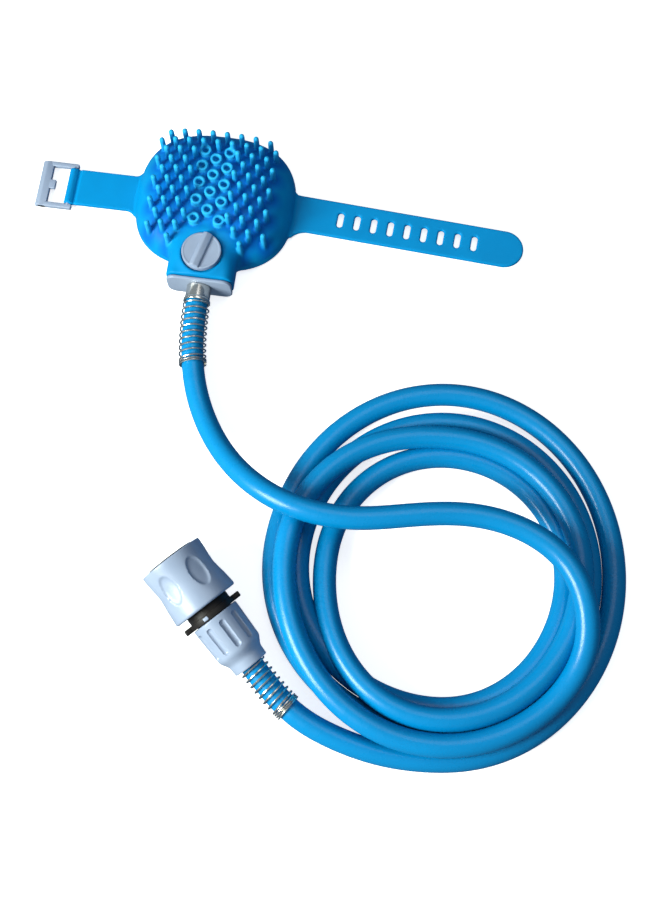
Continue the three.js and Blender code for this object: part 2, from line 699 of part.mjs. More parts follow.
function clawRing() {
  const [outerR, innerR, z0, z1] = [socket.radius - gap, socket.radius - 1.2, 1, 9];
  const band = solid(turned([[innerR, z0], [outerR, z0], [outerR, z1], [innerR, z1]], 24));
  const slits = [0, 60, 120].map((angle) => solid(
    box(-12, 12, -0.6, 0.6, z0 - 1, z1 - 2.5).rotateZ(THREE.MathUtils.degToRad(angle)),
  ));
  return placeConnector(toGeometry(cut(band, slits)));
}

function ribbedNut() {
  const { start, length, frontR, shoulderR, rearR, flutes } = nut;
  const end = start + length;
  const shoulder = start + 0.66 * length;
  const shell = solid(turned([
    [10.5, start], [frontR - 0.5, start], [frontR, start + 0.6], [shoulderR, shoulder],
    [rearR + 0.4, shoulder + 5.5], [rearR, end - 0.6], [rearR - 0.5, end], [6.5, end], [6.5, end - 5],
    [9.2, shoulder - 3], [10.5, shoulder - 4],
  ], 27));
  const grooves = [];
  for (let i = 0; i < flutes; i += 1) {
    const groove = new THREE.CapsuleGeometry(1.5, 12, 2, 6).rotateX(Math.PI / 2)
      .translate(0, frontR + 0.6, start + 11);
    grooves.push(solid(groove.rotateZ((2 * Math.PI * (i + 0.35)) / flutes)));
  }
  return placeConnector(toGeometry(cut(shell, grooves)));
}

function hoseCollet() {
  const [z0, z1] = [nut.start + 14.4, nut.start + 22];
  const cone = solid(turned([[6.3, z0], [8.8, z0], [8.6, z0 + 2], [7.3, z1], [6.3, z1]], 24));
  const slit = solid(box(0, 12, -0.7, 0.7, z0 - 1, z1 + 1));
  return placeConnector(toGeometry(cone.subtract(slit)));
}

function sleeveSpring() {
  const [start, length, radius] = [14.9, 9, 13.4];
  const [turns, steps] = [3.5, 42];
  const points = [];
  for (let i = 0; i <= steps; i += 1) {
    const angle = (2 * Math.PI * turns * i) / steps;
    points.push(new THREE.Vector3(
      radius * Math.cos(angle), radius * Math.sin(angle), start + (length * i) / steps,
    ));
  }
  return placeConnector(tube(new THREE.CatmullRomCurve3(points), springWireR, steps, 4));
}

// ---- Assembly -----------------------------------------------------------------------
const assembly = new THREE.Group();
assembly.name = 'handheld_bath_sprayer';

function addPart(name, geometry, colour, roughness = 0.5, metalness = 0) {
  const shape = toGeometry(solid(geometry));
  const material = new THREE.MeshStandardMaterial({ color: colour, roughness, metalness });
  material.name = name;
  const mesh = new THREE.Mesh(shape, material);
  mesh.name = name;
  assembly.add(mesh);
}

addPart('head_cover', headCover(), colours.silicone);
addPart('spray_plate', sprayPlate(), colours.whitePlastic);
addPart('chamber_gasket', chamberGasket(), colours.rubber);
addPart('water_chamber', waterChamber(), colours.whitePlastic);
addPart('palm_pad', palmPad(), colours.silicone);
bossPlaces.forEach((place, i) => {
  addPart(`chamber_screw_${i + 1}`, chamberScrew(place), colours.steel, 0.3, 1);
});
addPart('valve_body', valveBody(), colours.whitePlastic);
addPart('valve_rotor', valveRotor(), colours.brass, 0.35, 1);
addPart('stem_seal', torus(4.05, 0.72, 14.2).translate(0, valve.y, 0), colours.rubber);
addPart('knob', knobPiece(), colours.greyPlastic, 0.35);
addPart('neck_plate', neckPlate(), colours.greyPlastic, 0.35);
addPart('inlet_barb', inletBarb(), colours.brass, 0.35, 1);
const inletSealY = -53.8;
addPart(
  'inlet_seal', torus(5, 0.65, 0).rotateX(Math.PI / 2).translate(0, inletSealY, inletZ), colours.rubber,
);
addPart('head_ferrule', headFerrule(), colours.steel, 0.25, 1);
addPart(
  'head_spring', springAlong(leadCurve, headSpringStart, headSpringEnd, headSpringTurns),
  colours.steel, 0.3, 1,
);
addPart('hose_lead', hoseLead(), colours.hose);
addPart('hose_coil', hoseCoil(), colours.hose);
addPart('hose_tail', hoseTail(), colours.hose);

const nutEnd = nut.start + nut.length - hoseStart;
const connectorSpringLength = 28.4;
addPart(
  'connector_spring',
  springAlong(tailCurve, nutEnd + 1, nutEnd + connectorSpringLength, connectorSpringTurns),
  colours.steel, 0.3, 1,
);
addPart('ribbed_nut', ribbedNut(), colours.greyPlastic, 0.35);
addPart('hose_collet', hoseCollet(), colours.whitePlastic);
addPart('connector_body', connectorBody(), colours.blackPlastic);
addPart('claw_ring', clawRing(), colours.blackPlastic);
addPart('mouth_seal', placeConnector(torus(6.9, 0.9, 15)), colours.rubber);
addPart('sleeve_spring', sleeveSpring(), colours.steel, 0.3, 1);
addPart('release_sleeve', releaseSleeve(), colours.greyPlastic, 0.35);

addPart('strap_short', shortStrapPiece(), colours.silicone);
addPart('buckle', bucklePiece(), colours.greyPlastic, 0.35);
longStrapPieces().forEach((piece, i) => {
  addPart(`strap_long_${['root', 'middle', 'tip'][i]}`, piece, colours.silicone);
});

export default assembly;
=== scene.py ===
"""Looks of the handheld bath sprayer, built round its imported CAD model. Metres, +Z up.

The palm side of the head lies on z = 0, the neck points to -Y and the hand strap runs along X.
Silicone pieces are meshed from distance fields, so that their fillets are one smooth skin.
"""

import json
import math

import bmesh
import bpy
import numpy as np
import openvdb
from mathutils import Matrix, Vector


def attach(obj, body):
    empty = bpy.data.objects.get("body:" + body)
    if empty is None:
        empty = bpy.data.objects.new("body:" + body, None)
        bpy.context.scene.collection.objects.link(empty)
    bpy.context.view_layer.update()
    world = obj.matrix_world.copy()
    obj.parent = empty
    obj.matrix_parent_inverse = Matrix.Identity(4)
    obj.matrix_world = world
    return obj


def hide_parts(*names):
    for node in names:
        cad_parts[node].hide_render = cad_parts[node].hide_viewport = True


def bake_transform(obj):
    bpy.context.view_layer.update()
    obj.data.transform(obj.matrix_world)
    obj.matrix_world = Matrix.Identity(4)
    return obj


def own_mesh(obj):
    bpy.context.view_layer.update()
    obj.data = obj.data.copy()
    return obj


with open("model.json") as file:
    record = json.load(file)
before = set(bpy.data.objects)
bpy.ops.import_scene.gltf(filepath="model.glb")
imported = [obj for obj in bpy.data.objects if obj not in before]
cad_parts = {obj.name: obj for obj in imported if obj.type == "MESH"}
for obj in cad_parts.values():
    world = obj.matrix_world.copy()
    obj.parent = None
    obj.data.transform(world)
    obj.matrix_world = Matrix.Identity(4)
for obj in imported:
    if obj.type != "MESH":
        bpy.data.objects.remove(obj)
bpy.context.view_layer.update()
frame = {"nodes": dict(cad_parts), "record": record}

# ---- Driving dimensions --------------------------------------------------------------
HEAD = {"half_width": 0.045, "half_length": 0.041, "centre_y": -0.0015, "top": 0.0255, "base": 0.0023}
FACE_ROUNDNESS = 2.6  # superellipse exponent of the outline
SIDE_ROUNDNESS = 2.4  # superellipse exponent of the side profile
COVER_WALL = 0.0026
RING = {
    "outer": 0.0033, "bore": 0.0018, "height": 0.0036, "cup_floor": 0.0012, "hole": 0.0006,
    "hole_floor": 0.010,
    "pitch_x": 0.0138, "pitch_y": 0.0052, "first_y": 0.0186, "rows": 9,
}
PIN = {
    "root": 0.0016, "tip": 0.0015, "height": 0.0100, "rim_extra": 0.003,
    "pitch_x": 0.008, "pitch_y": 0.0063, "first_y": 0.028, "rows": 11,
    "furthest_x": 0.036, "rim_reach": 0.93,
    "field_half_width": 0.011, "field_top": 0.018, "knob_clearance": 0.0195,
}
KNOB = {
    "y": -0.041, "radius": 0.0108, "bottom": 0.0204, "top": 0.024,
    "bar_width": 0.0058, "bar_height": 0.0032, "turn": -14,
}
BOSS_WALL = 0.0024
NECK = {"half_width": 0.0185, "corner": 0.006, "bottom": 0.0008, "top": 0.020, "end_y": -0.0542}
VALVE_ROOM = {"half_width": 0.0093, "bottom": 0.003, "top": 0.0165, "inner_y": -0.027, "stem": 0.004}
PLATE = {
    "half_width": 0.018, "bottom": 0.0005, "top": 0.0185, "corner": 0.005,
    "outer_y": -0.0565, "thickness": 0.002,
}
INLET_Z = 0.0095
HOSE_RADIUS = 0.006
FERRULE = {"outer": 0.0068, "lip": 0.0074, "inner": 0.00635, "length": 0.0092, "lip_length": 0.002}
SPRING_RADIUS = 0.0071
SPRING_WIRE = 0.00048
STRAP = {
    "width": 0.022, "thickness": 0.0024, "z": 0.0035,
    "root_x": 0.0485, "root_y": -0.0015, "long_yaw": -3.5,
}
# How far the fillets in the corners between head and strap reach: side, then above or below.
ROOT_FILLETS = {(1, "above"): 0.0015, (1, "below"): 0.011, (-1, "above"): 0.004, (-1, "below"): 0.006}
ROOT_EDGE = -0.0045  # where the head's outline crosses the strap, before its hinge
SLOT = {"first": 0.0229, "pitch": 0.00954, "count": 9, "width": 0.0032, "length": 0.009}
LONG_STRAP_LENGTH = 0.127
HEM_X = 0.035
HEM_RADIUS = 0.0024
BUCKLE = {
    "bar": 0.0013, "end": 0.0535, "cross_bar": 0.0065, "arm_inner": 0.0114, "arm_outer": 0.0142,
    "arm_overhang": 0.001, "thickness": 0.0032, "prong_length": 0.003, "prong_half_width": 0.0027,
}
CONNECTOR = {"mouth": Vector((0.0122, -0.2107, 0.0235)), "yaw": -44, "pitch": 11}
SLEEVE = {
    "length": 0.0295, "travel": 0.0034, "front": 0.0169, "bore": 0.0131, "bore_depth": 0.0124,
    "step": 0.0123, "step_end": 0.014, "chamber": 0.0149,
}
RECESS = {
    "middle": 0.0135, "half_width": 0.0046, "half_length": 0.0082, "depth": 0.00135, "count": 6,
    "phase": 66,
}
# The connector body's stretches, each as its radius and two ends: the outside, then back inside.
CORE = {
    "nose": (0.0127, -0.0008, 0.012), "waist": (0.0119, 0.012, 0.0245), "stop": (0.0145, 0.0245, 0.026),
    "neck": (0.0119, 0.027, 0.0332), "flange": (0.0132, 0.0332, 0.0362),
    "thread": (0.0102, 0.0362, 0.050), "barb": (0.0036, 0.050, 0.0638),
    "bore": (0.0028, 0.0638, 0.020), "socket": (0.0082, 0.020, -0.0008),
}
LUG = {"inner": 0.0112, "outer": 0.0167, "half_width": 0.00275, "thickness": 0.003}
NUT = {
    "start": 0.0365, "end": 0.0665, "flutes": 10, "phase": 14,
    "flute_half_width": 0.0017, "flute_half_length": 0.0078, "flute_depth": 0.0012,
}
WINDOW_PHASE = 20
RETURN_SPRING = {"start": 0.0149, "length": 0.009, "radius": 0.0134, "turns": 3.5}
BARB_START = 0.0523  # where the hose begins inside the nut
COIL = {"x": 0.1495, "y": -0.1953, "half_width": 0.088, "half_length": 0.0953}
STRAND = 2 * HOSE_RADIUS + 0.00015
FLOOR_STRAND_Z = HOSE_RADIUS + 0.0002

# The hose's route from the neck plate up and over the coil, then down onto it.
LEAD_ROUTE = [
    (0, -0.0571, 0.0095), (0.0003, -0.079, 0.0092), (0.0028, -0.0995, 0.0082), (0.0075, -0.116, 0.0074),
    (0.0165, -0.134, 0.0084), (0.030, -0.152, 0.0145), (0.047, -0.167, 0.024), (0.068, -0.1775, 0.030),
    (0.100, -0.1805, 0.0302), (0.130, -0.174, 0.0298), (0.159, -0.1697, 0.0296), (0.188, -0.1745, 0.0298),
    (0.210, -0.1885, 0.0297), (0.2195, -0.2075, 0.0302), (0.2225, -0.230, 0.0236),
]
# Its route from the connector's spring to the foot of the coil.
TAIL_ROUTE = [
    (0.069, -0.2656, 0.0092), (0.0805, -0.276, 0.0077), (0.092, -0.2818, 0.0069), (0.104, -0.2856, 0.0063),
    (0.119, -0.2894, 0.0062), (0.136, -0.2912, 0.0062), (0.152, -0.2906, 0.0062),
]
# Each turn of the coil at its right, bottom, left and top: how many strands in from the
# outermost, and how many layers up.
COIL_TURNS = [
    [(0.5, 1), (0.5, 1), (0.5, 1), (2.1, 0.6)],
    [(1.5, 1), (1.5, 1), (2.2, 0), (2.75, 0)],
    [(2, 0), (2, 0), (1, 0), (1.25, 0)],
    [(1, 0), (1, 0), (0, 0), (-0.1, 0)],
    [(0, 0), (0, 0)],
]
LAYER_RISE = STRAND * math.sqrt(3) / 2


# ---- Meshes --------------------------------------------------------------------------
def add_piece(name, part, material, body=None, stands_for=(), sharp=35):
    """An object from a part, its vertices and faces, on a body and in a material slot."""
    vertices, faces = part
    mesh = bpy.data.meshes.new(name)
    mesh.from_pydata([tuple(v) for v in vertices], [], [tuple(f) for f in faces])
    mesh.validate()
    mesh.shade_smooth()
    mesh.set_sharp_from_angle(angle=math.radians(sharp))
    mesh.materials.append(material)
    piece = bpy.data.objects.new(name, mesh)
    bpy.context.scene.collection.objects.link(piece)
    if body:
        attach(piece, body)
    if stands_for:
        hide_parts(*stands_for)
    return piece


def grid_faces(rows, columns, wrap_rows=False, wrap_columns=True, first=0):
    """Quads between the points of a grid numbered row by row."""
    faces = []
    for i in range(rows if wrap_rows else rows - 1):
        for j in range(columns if wrap_columns else columns - 1):
            a, b = i * columns, ((i + 1) % rows) * columns
            k = (j + 1) % columns
            faces.append((first + a + j, first + a + k, first + b + k, first + b + j))
    return faces


def joined(parts):
    vertices, faces = [], []
    for part_vertices, part_faces in parts:
        faces += [tuple(i + len(vertices) for i in f) for f in part_faces]
        vertices += [tuple(v) for v in part_vertices]
    return vertices, faces


def placed(part, matrix):
    vertices, faces = part
    return [matrix @ Vector(v) for v in vertices], faces


def upright(x, y, z):
    """Lays a part's own height along -Y, from a point."""
    return Matrix.Translation((x, y, z)) @ Matrix.Rotation(math.pi / 2, 4, "X")


def rounded(outline, radius, steps=4, closed=True):
    """The outline again, with each corner turned into a short curve."""
    points = [np.array(p, float) for p in outline]
    result = []
    for i, corner in enumerate(points):
        if not closed and i in (0, len(points) - 1):
            result.append(corner)
            continue
        before, after = points[i - 1] - corner, points[(i + 1) % len(points)] - corner
        cut = min(radius, 0.45 * np.linalg.norm(before), 0.45 * np.linalg.norm(after))
        start = corner + before / np.linalg.norm(before) * cut
        end = corner + after / np.linalg.norm(after) * cut
        for t in np.linspace(0, 1, steps + 1):
            result.append((1 - t) ** 2 * start + 2 * t * (1 - t) * corner + t**2 * end)
    return result


def turned(profile, sides=64, closed=True, radius_change=None):
    """A body of revolution about Z from (radius, z) pairs."""
    angles = np.linspace(0, 2 * math.pi, sides, endpoint=False)
    rows = []
    for radius, z in profile:
        r = np.full(sides, radius)
        if radius_change:
            r = r + radius_change(angles, z, radius)
        rows.append(np.stack([r * np.cos(angles), r * np.sin(angles), np.full(sides, z)], axis=1))
    faces = grid_faces(len(rows), sides, wrap_rows=closed)
    return [tuple(p) for row in rows for p in row], faces


def prism(outline, depth, edge=0.0, steps=3):
    """An outline in X and Y raised to z = depth, with its top and bottom edges rounded."""
    inner, outer = np.array(shrunk(outline, edge)), np.array(outline)
    rows = []
    for angle in np.linspace(0, math.pi / 2, steps + 1):
        height = (1 - math.cos(angle)) * edge
        rows.append([(x, y, height) for x, y in inner + (outer - inner) * math.sin(angle)])
    upper = [[(x, y, depth - z) for x, y, z in row] for row in reversed(rows)]
    rows += upper
    n = len(outline)
    faces = grid_faces(len(rows), n)
    faces += [tuple(reversed(range(n))), tuple(range((len(rows) - 1) * n, len(rows) * n))]
    return [p for row in rows for p in row], faces


def shrunk(outline, distance):
    """A convex outline, drawn counter-clockwise, moved inwards."""
    points = np.array(outline, float)
    before = points - np.roll(points, 1, axis=0)
    after = np.roll(points, -1, axis=0) - points
    normals = []
    for a, b in zip(before, after):
        direction = a / (np.linalg.norm(a) + 1e-12) + b / (np.linalg.norm(b) + 1e-12)
        direction /= np.linalg.norm(direction) + 1e-12
        normals.append((-direction[1], direction[0]))
    return [tuple(p) for p in points + np.array(normals) * distance]


def rounded_rectangle(x0, x1, y0, y1, radius, steps=6):
    outline = []
    corners = [(x1, y1, 0), (x0, y1, 90), (x0, y0, 180), (x1, y0, 270)]
    for x, y, first in corners:
        cx = x + radius if x == x0 else x - radius
        cy = y + radius if y == y0 else y - radius
        for a in np.radians(np.linspace(first, first + 90, steps + 1)):
            outline.append((cx + radius * math.cos(a), cy + radius * math.sin(a)))
    return outline


# ---- Lines and tubes -----------------------------------------------------------------
def smooth_line(points, step=0.0015):
    """A centripetal Catmull-Rom curve through the points, at even steps."""
    p = [np.array(q, float) for q in points]
    p = [2 * p[0] - p[1], *p, 2 * p[-1] - p[-2]]
    line = []
    for i in range(1, len(p) - 2):
        t = [0.0]
        for a, b in zip(p[i - 1 : i + 2], p[i : i + 3]):
            t.append(t[-1] + math.sqrt(np.linalg.norm(b - a)))
        for s in np.linspace(t[1], t[2], 24, endpoint=False):
            level = p[i - 1 : i + 3]
            for width in (1, 2, 3):
                level = [
                    (level[k] * (t[k + width] - s) + level[k + 1] * (s - t[k])) / (t[k + width] - t[k])
                    for k in range(len(level) - 1)
                ]
            line.append(level[0])
    line.append(p[-2])
    return evenly(np.array(line), step)


def evenly(line, step):
    along = distances(line)
    at = np.linspace(0, along[-1], max(2, round(along[-1] / step) + 1))
    return np.stack([np.interp(at, along, line[:, k]) for k in range(3)], axis=1)


def eased(line, passes=100):
    """The line with its bends evened out; its two ends stay where they are."""
    result = line.copy()
    for _ in range(passes):
        result[1:-1] = (result[:-2] + 2 * result[1:-1] + result[2:]) / 4
    return result


def distances(line):
    return np.concatenate([[0], np.cumsum(np.linalg.norm(np.diff(line, axis=0), axis=1))])


def unit(vectors):
    return vectors / np.linalg.norm(vectors, axis=1)[:, None]


def line_frames(line):
    """Side and up at each point; the side stays level."""
    tangents = unit(np.gradient(line, axis=0))
    sides = unit(np.cross((0, 0, 1), tangents))
    return sides, np.cross(tangents, sides)


def tube(line, radius, sides=20):
    """A tube along a line, closed by round ends."""
    side, up = line_frames(line)
    angles = np.linspace(0, 2 * math.pi, sides, endpoint=False)
    ring = np.cos(angles)[None, :, None] * side[:, None, :] + np.sin(angles)[None, :, None] * up[:, None, :]
    rows = line[:, None, :] + radius * ring
    first = len(rows) * sides
    vertices = list(rows.reshape(-1, 3)) + [line[0], line[-1]]
    faces = grid_faces(len(rows), sides)
    last_row = (len(rows) - 1) * sides
    for j in range(sides):
        faces.append((first, (j + 1) % sides, j))
        faces.append((first + 1, last_row + j, last_row + (j + 1) % sides))
    return vertices, faces


def helix(line, start, end, open_turns, closed_turns, radius, wire):
    """A spring's wire round a line: open turns, then closed ones that touch."""
    along = distances(line)
    closed_pitch = 2 * wire + 0.00015
    open_length = end - start - closed_turns * closed_pitch
    turns = open_turns + closed_turns
    turn = np.linspace(0, turns, round(turns * 40) + 1)
    at = np.where(
        turn < open_turns,
        start + turn / open_turns * open_length,
        start + open_length + (turn - open_turns) * closed_pitch,
    )
    side, up = line_frames(line)
    centre, across, above = (
        np.stack([np.interp(at, along, values[:, k]) for k in range(3)], axis=1)
        for values in (line, side, up)
    )
    angle = (2 * math.pi * turn)[:, None]
    return centre + radius * (np.cos(angle) * across + np.sin(angle) * above)


def wire_tube(line, radius, sides=8):
    """A tube whose section doesn't turn, for wire that bends in every direction."""
    tangents = unit(np.gradient(line, axis=0))
    side = np.cross(tangents[0], (0.3, 0.5, 0.8))
    rows = []
    for point, tangent in zip(line, tangents):
        side = side - tangent * (side @ tangent)
        side /= np.linalg.norm(side)
        up = np.cross(tangent, side)
        for angle in np.linspace(0, 2 * math.pi, sides, endpoint=False):
            rows.append(point + radius * (math.cos(angle) * side + math.sin(angle) * up))
    faces = grid_faces(len(line), sides)
    last = (len(line) - 1) * sides
    faces += [tuple(reversed(range(sides))), tuple(range(last, last + sides))]
    return rows, faces


# ---- Distance fields -----------------------------------------------------------------
VOXEL = 0.00045


class Field:
    """Signed distances on a grid, negative inside; turned into a mesh at the end."""

    def __init__(self, low, high, voxel=VOXEL):
        self.low, self.voxel = np.array(low, float), voxel
        counts = np.ceil((np.array(high) - self.low) / voxel).astype(int) + 1
        axes = [self.low[k] + voxel * np.arange(counts[k]) for k in range(3)]
        grid = np.meshgrid(*axes, indexing="ij", sparse=True)
        self.x, self.y, self.z = (a.astype(np.float32) for a in grid)
        self.shape = tuple(counts)
        self.value = np.full(self.shape, 1.0, np.float32)

    def window(self, x0, x1, y0, y1):
        """The slices of the grid that cover a rectangle in X and Y."""
        i0, j0 = (max(0, int((a - b) / self.voxel)) for a, b in zip((x0, y0), self.low))
        i1, j1 = (int((a - b) / self.voxel) + 2 for a, b in zip((x1, y1), self.low))
        return slice(i0, i1), slice(j0, j1)

    def mesh(self):
        grid = openvdb.FloatGrid(float(4 * self.voxel))
        near = np.clip(np.broadcast_to(self.value, self.shape), -4 * self.voxel, 4 * self.voxel)
        grid.copyFromArray(np.ascontiguousarray(near, np.float32))
        points, quads = grid.convertToQuads(0.0)
        vertices = points * self.voxel + self.low
        a, b, c, d = (vertices[quads[:, k]] for k in range(4))
        volume = (np.cross(b - a, c - a) * a).sum() + (np.cross(c - a, d - a) * a).sum()
        return vertices, quads if volume > 0 else quads[:, ::-1]


def union(a, b, fillet):
    """The smaller of two distances, with a fillet of about that size where they meet."""
    share = np.clip(0.5 + 0.5 * (b - a) / fillet, 0, 1)
    return b + (a - b) * share - fillet * share * (1 - share)


def cut(a, tool, fillet=0.0002):
    return -union(-a, tool, fillet)


def rounded_slab(offsets, half_sizes, radius):
    """Distance to a box with rounded edges, from the offsets to its middle along some axes."""
    q = [np.abs(o) - (h - radius) for o, h in zip(offsets, half_sizes)]
    outside = np.sqrt(sum(np.maximum(v, 0) ** 2 for v in q))
    inside = q[0]
    for v in q[1:]:
        inside = np.maximum(inside, v)
    return outside + np.minimum(inside, 0) - radius


def head_reach(x, y):
    """0 at the head's centre and 1 on its outline."""
    across = np.abs(x / HEAD["half_width"]) ** FACE_ROUNDNESS
    along = np.abs((y - HEAD["centre_y"]) / HEAD["half_length"]) ** FACE_ROUNDNESS
    return (across + along) ** (1 / FACE_ROUNDNESS)


def face_height(x, y):
    s = np.minimum(1, head_reach(x, y))
    return HEAD["top"] * (1 - s**SIDE_ROUNDNESS) ** (1 / SIDE_ROUNDNESS)


def dome_distance(field):
    level = head_reach(field.x, field.y) ** SIDE_ROUNDNESS
    rise = (np.maximum(field.z, 0) / HEAD["top"]) ** SIDE_ROUNDNESS
    value = ((level + rise) ** (1 / SIDE_ROUNDNESS) - 1).astype(np.float32)
    slope = np.sqrt(sum(g**2 for g in np.gradient(value, field.voxel)))
    return value / np.maximum(slope, 1 / HEAD["half_width"] * 0.5)


def ring_centres():
    centres = []
    for row in range(RING["rows"]):
        y = RING["first_y"] - row * RING["pitch_y"]
        half = RING["pitch_x"] / 2
        centres += [(0, y)] if row % 2 else [(-half, y), (half, y)]
    return centres


def pin_centres():
    """Staggered rows that leave the spray field, the rim and the knob's apron clear."""
    centres = []
    for row in range(PIN["rows"]):
        y = PIN["first_y"] - row * PIN["pitch_y"]
        x = 0.0 if row % 2 else PIN["pitch_x"] / 2
        while x <= PIN["furthest_x"]:
            in_spray_field = x < PIN["field_half_width"] and y < PIN["field_top"]
            on_rim = head_reach(x, y) > PIN["rim_reach"]
            near_knob = math.hypot(x, y - KNOB["y"]) < PIN["knob_clearance"]
            if not (in_spray_field or on_rim or near_knob):
                centres += [(x, y)] if x == 0 else [(x, y), (-x, y)]
            x += PIN["pitch_x"]
    return centres


def add_pin(field, x, y):
    """A tapered pin with a round tip, longer the nearer it stands to the rim."""
    reach = PIN["root"] + 0.004
    i, j = field.window(x - reach, x + reach, y - reach, y + reach)
    dx, dy, z = field.x[i] - x, field.y[:, j] - y, field.z
    root = float(face_height(x, y))
    tip = root + PIN["height"] + PIN["rim_extra"] * head_reach(x, y) ** 3 - PIN["tip"]
    radius = PIN["root"] + (PIN["tip"] - PIN["root"]) * np.clip((z - root) / (tip - root), 0, 1)
    beside = np.sqrt(dx**2 + dy**2)
    pin = np.sqrt(beside**2 + np.maximum(z - tip, 0) ** 2) - radius
    field.value[i, j] = union(field.value[i, j], pin, 0.0012)


def add_ring(field, x, y):
    reach = RING["outer"] + 0.003
    i, j = field.window(x - reach, x + reach, y - reach, y + reach)
    beside = np.sqrt((field.x[i] - x) ** 2 + (field.y[:, j] - y) ** 2)
    middle = (RING["outer"] + RING["bore"]) / 2
    wall = (RING["outer"] - RING["bore"]) / 2
    face = float(face_height(x, y))
    tall = RING["height"] + COVER_WALL / 2
    height = field.z - (face + RING["height"] - tall / 2)
    ring = rounded_slab([beside - middle, height], [wall, tall / 2], 0.6 * wall)
    cup = np.minimum(RING["bore"] - beside, field.z - face - RING["cup_floor"])
    hole = np.minimum(RING["hole"] - beside, field.z - RING["hole_floor"])
    field.value[i, j] = np.maximum(union(field.value[i, j], ring, 0.001), np.maximum(cup, hole))


def strap_frame(side):
    """From strap coordinates, along +X from the root hinge, to the head's."""
    turn = math.radians(STRAP["long_yaw"]) if side > 0 else math.pi
    place = Vector((side * STRAP["root_x"], STRAP["root_y"], STRAP["z"]))
    return Matrix.Translation(place) @ Matrix.Rotation(turn, 4, "Z")


def strap_half_width(along, across, side):
    """Half the strap's width, wider where it runs into the head."""
    half = STRAP["width"] / 2
    upper, lower = ROOT_FILLETS[side, "above"], ROOT_FILLETS[side, "below"]
    if side < 0:
        upper, lower = lower, upper
    radius = np.where(across > 0, upper, lower)
    away = np.clip(along - ROOT_EDGE, 0.2 * radius, radius)
    return half + radius - np.sqrt(radius**2 - (radius - away) ** 2)


def strap_root_distance(field, side):
    """The strap where it grows out of the head, a hair thinner than the strap itself."""
    turn = math.radians(STRAP["long_yaw"]) if side > 0 else 0
    dx, dy = field.x * side - STRAP["root_x"], field.y - STRAP["root_y"]
    along = dx * math.cos(turn) + dy * math.sin(turn) * side
    across = dy * math.cos(turn) - dx * math.sin(turn) * side
    middle, half = -0.0185, 0.017
    skin = 0.00001
    # The left strap's own frame is turned half round, so its upper side is the head's lower.
    wide = strap_half_width(along, across * side, side)
    sizes = [half, wide - skin, STRAP["thickness"] / 2 - skin]
    return rounded_slab([along - middle, across, field.z - STRAP["z"]], sizes, 0.0006)


def neck_distance(field):
    middle = (NECK["top"] + NECK["bottom"]) / 2
    half = (NECK["top"] - NECK["bottom"]) / 2
    section = rounded_slab([field.x, field.z - middle], [NECK["half_width"], half], NECK["corner"])
    start = KNOB["y"] + KNOB["radius"]
    length = np.abs(field.y - (start + NECK["end_y"]) / 2) - (start - NECK["end_y"]) / 2
    return -union(-section, -length, 0.0012)


def from_knob_axis(field):
    return np.sqrt(field.x**2 + (field.y - KNOB["y"]) ** 2)


def boss_distance(field):
    """The cover's round boss under the knob, with a soft top edge."""
    top = KNOB["bottom"] + 0.0006
    radius = KNOB["radius"] + BOSS_WALL
    return rounded_slab([from_knob_axis(field), field.z - top / 2], [radius, top / 2], 0.0035)


def box_distance(field, low, high):
    middle = [(a + b) / 2 for a, b in zip(low, high)]
    half = [(b - a) / 2 for a, b in zip(low, high)]
    offsets = [axis - m for axis, m in zip((field.x, field.y, field.z), middle)]
    return rounded_slab(offsets, half, 0.0)


def head_cover(silicone):
    margin = 0.002
    low = (-STRAP["root_x"] - margin, NECK["end_y"] - margin, -margin)
    pin_top = HEAD["top"] + PIN["height"]
    back = HEAD["centre_y"] + HEAD["half_length"]
    field = Field(low, (STRAP["root_x"] + margin, back + margin, pin_top + margin))
    dome = dome_distance(field)
    body = union(dome, strap_root_distance(field, 1), 0.002)
    body = union(body, strap_root_distance(field, -1), 0.002)
    body = np.maximum(body, HEAD["base"] - field.z)
    neck = union(neck_distance(field), boss_distance(field), 0.005)
    apron_low, apron_gain, apron_start, apron_rise = 0.003, 0.004, 0.005, 0.011
    apron = apron_low + apron_gain * np.clip((field.z - apron_start) / apron_rise, 0, 1)
    field.value = union(body, neck, apron)
    knob_seat = np.maximum(
        from_knob_axis(field) - KNOB["radius"] - 0.0005, KNOB["bottom"] - 0.0004 - field.z
    )
    field.value = cut(field.value, knob_seat, 0.0012)
    for centre in pin_centres():
        add_pin(field, *centre)
    for centre in ring_centres():
        add_ring(field, *centre)
    room = VALVE_ROOM
    low = (-room["half_width"], 1.1 * NECK["end_y"], room["bottom"])
    high = (room["half_width"], room["inner_y"], room["top"])
    valve_room = box_distance(field, low, high)
    stem_room = np.maximum(from_knob_axis(field) - room["stem"], room["bottom"] - field.z)
    inside = np.maximum(dome + COVER_WALL, -neck)
    for hollow in (inside, valve_room, stem_room):
        field.value = np.maximum(field.value, -hollow)
    ends = np.maximum(NECK["end_y"] - field.y, NECK["bottom"] - field.z)
    field.value = np.maximum(field.value, ends)
    vertices, faces = field.mesh()
    piece = add_piece("head_skin", (vertices, faces), silicone, "head", ["head_cover"], sharp=60)
    add_painted_light_and_shade(piece, vertices)


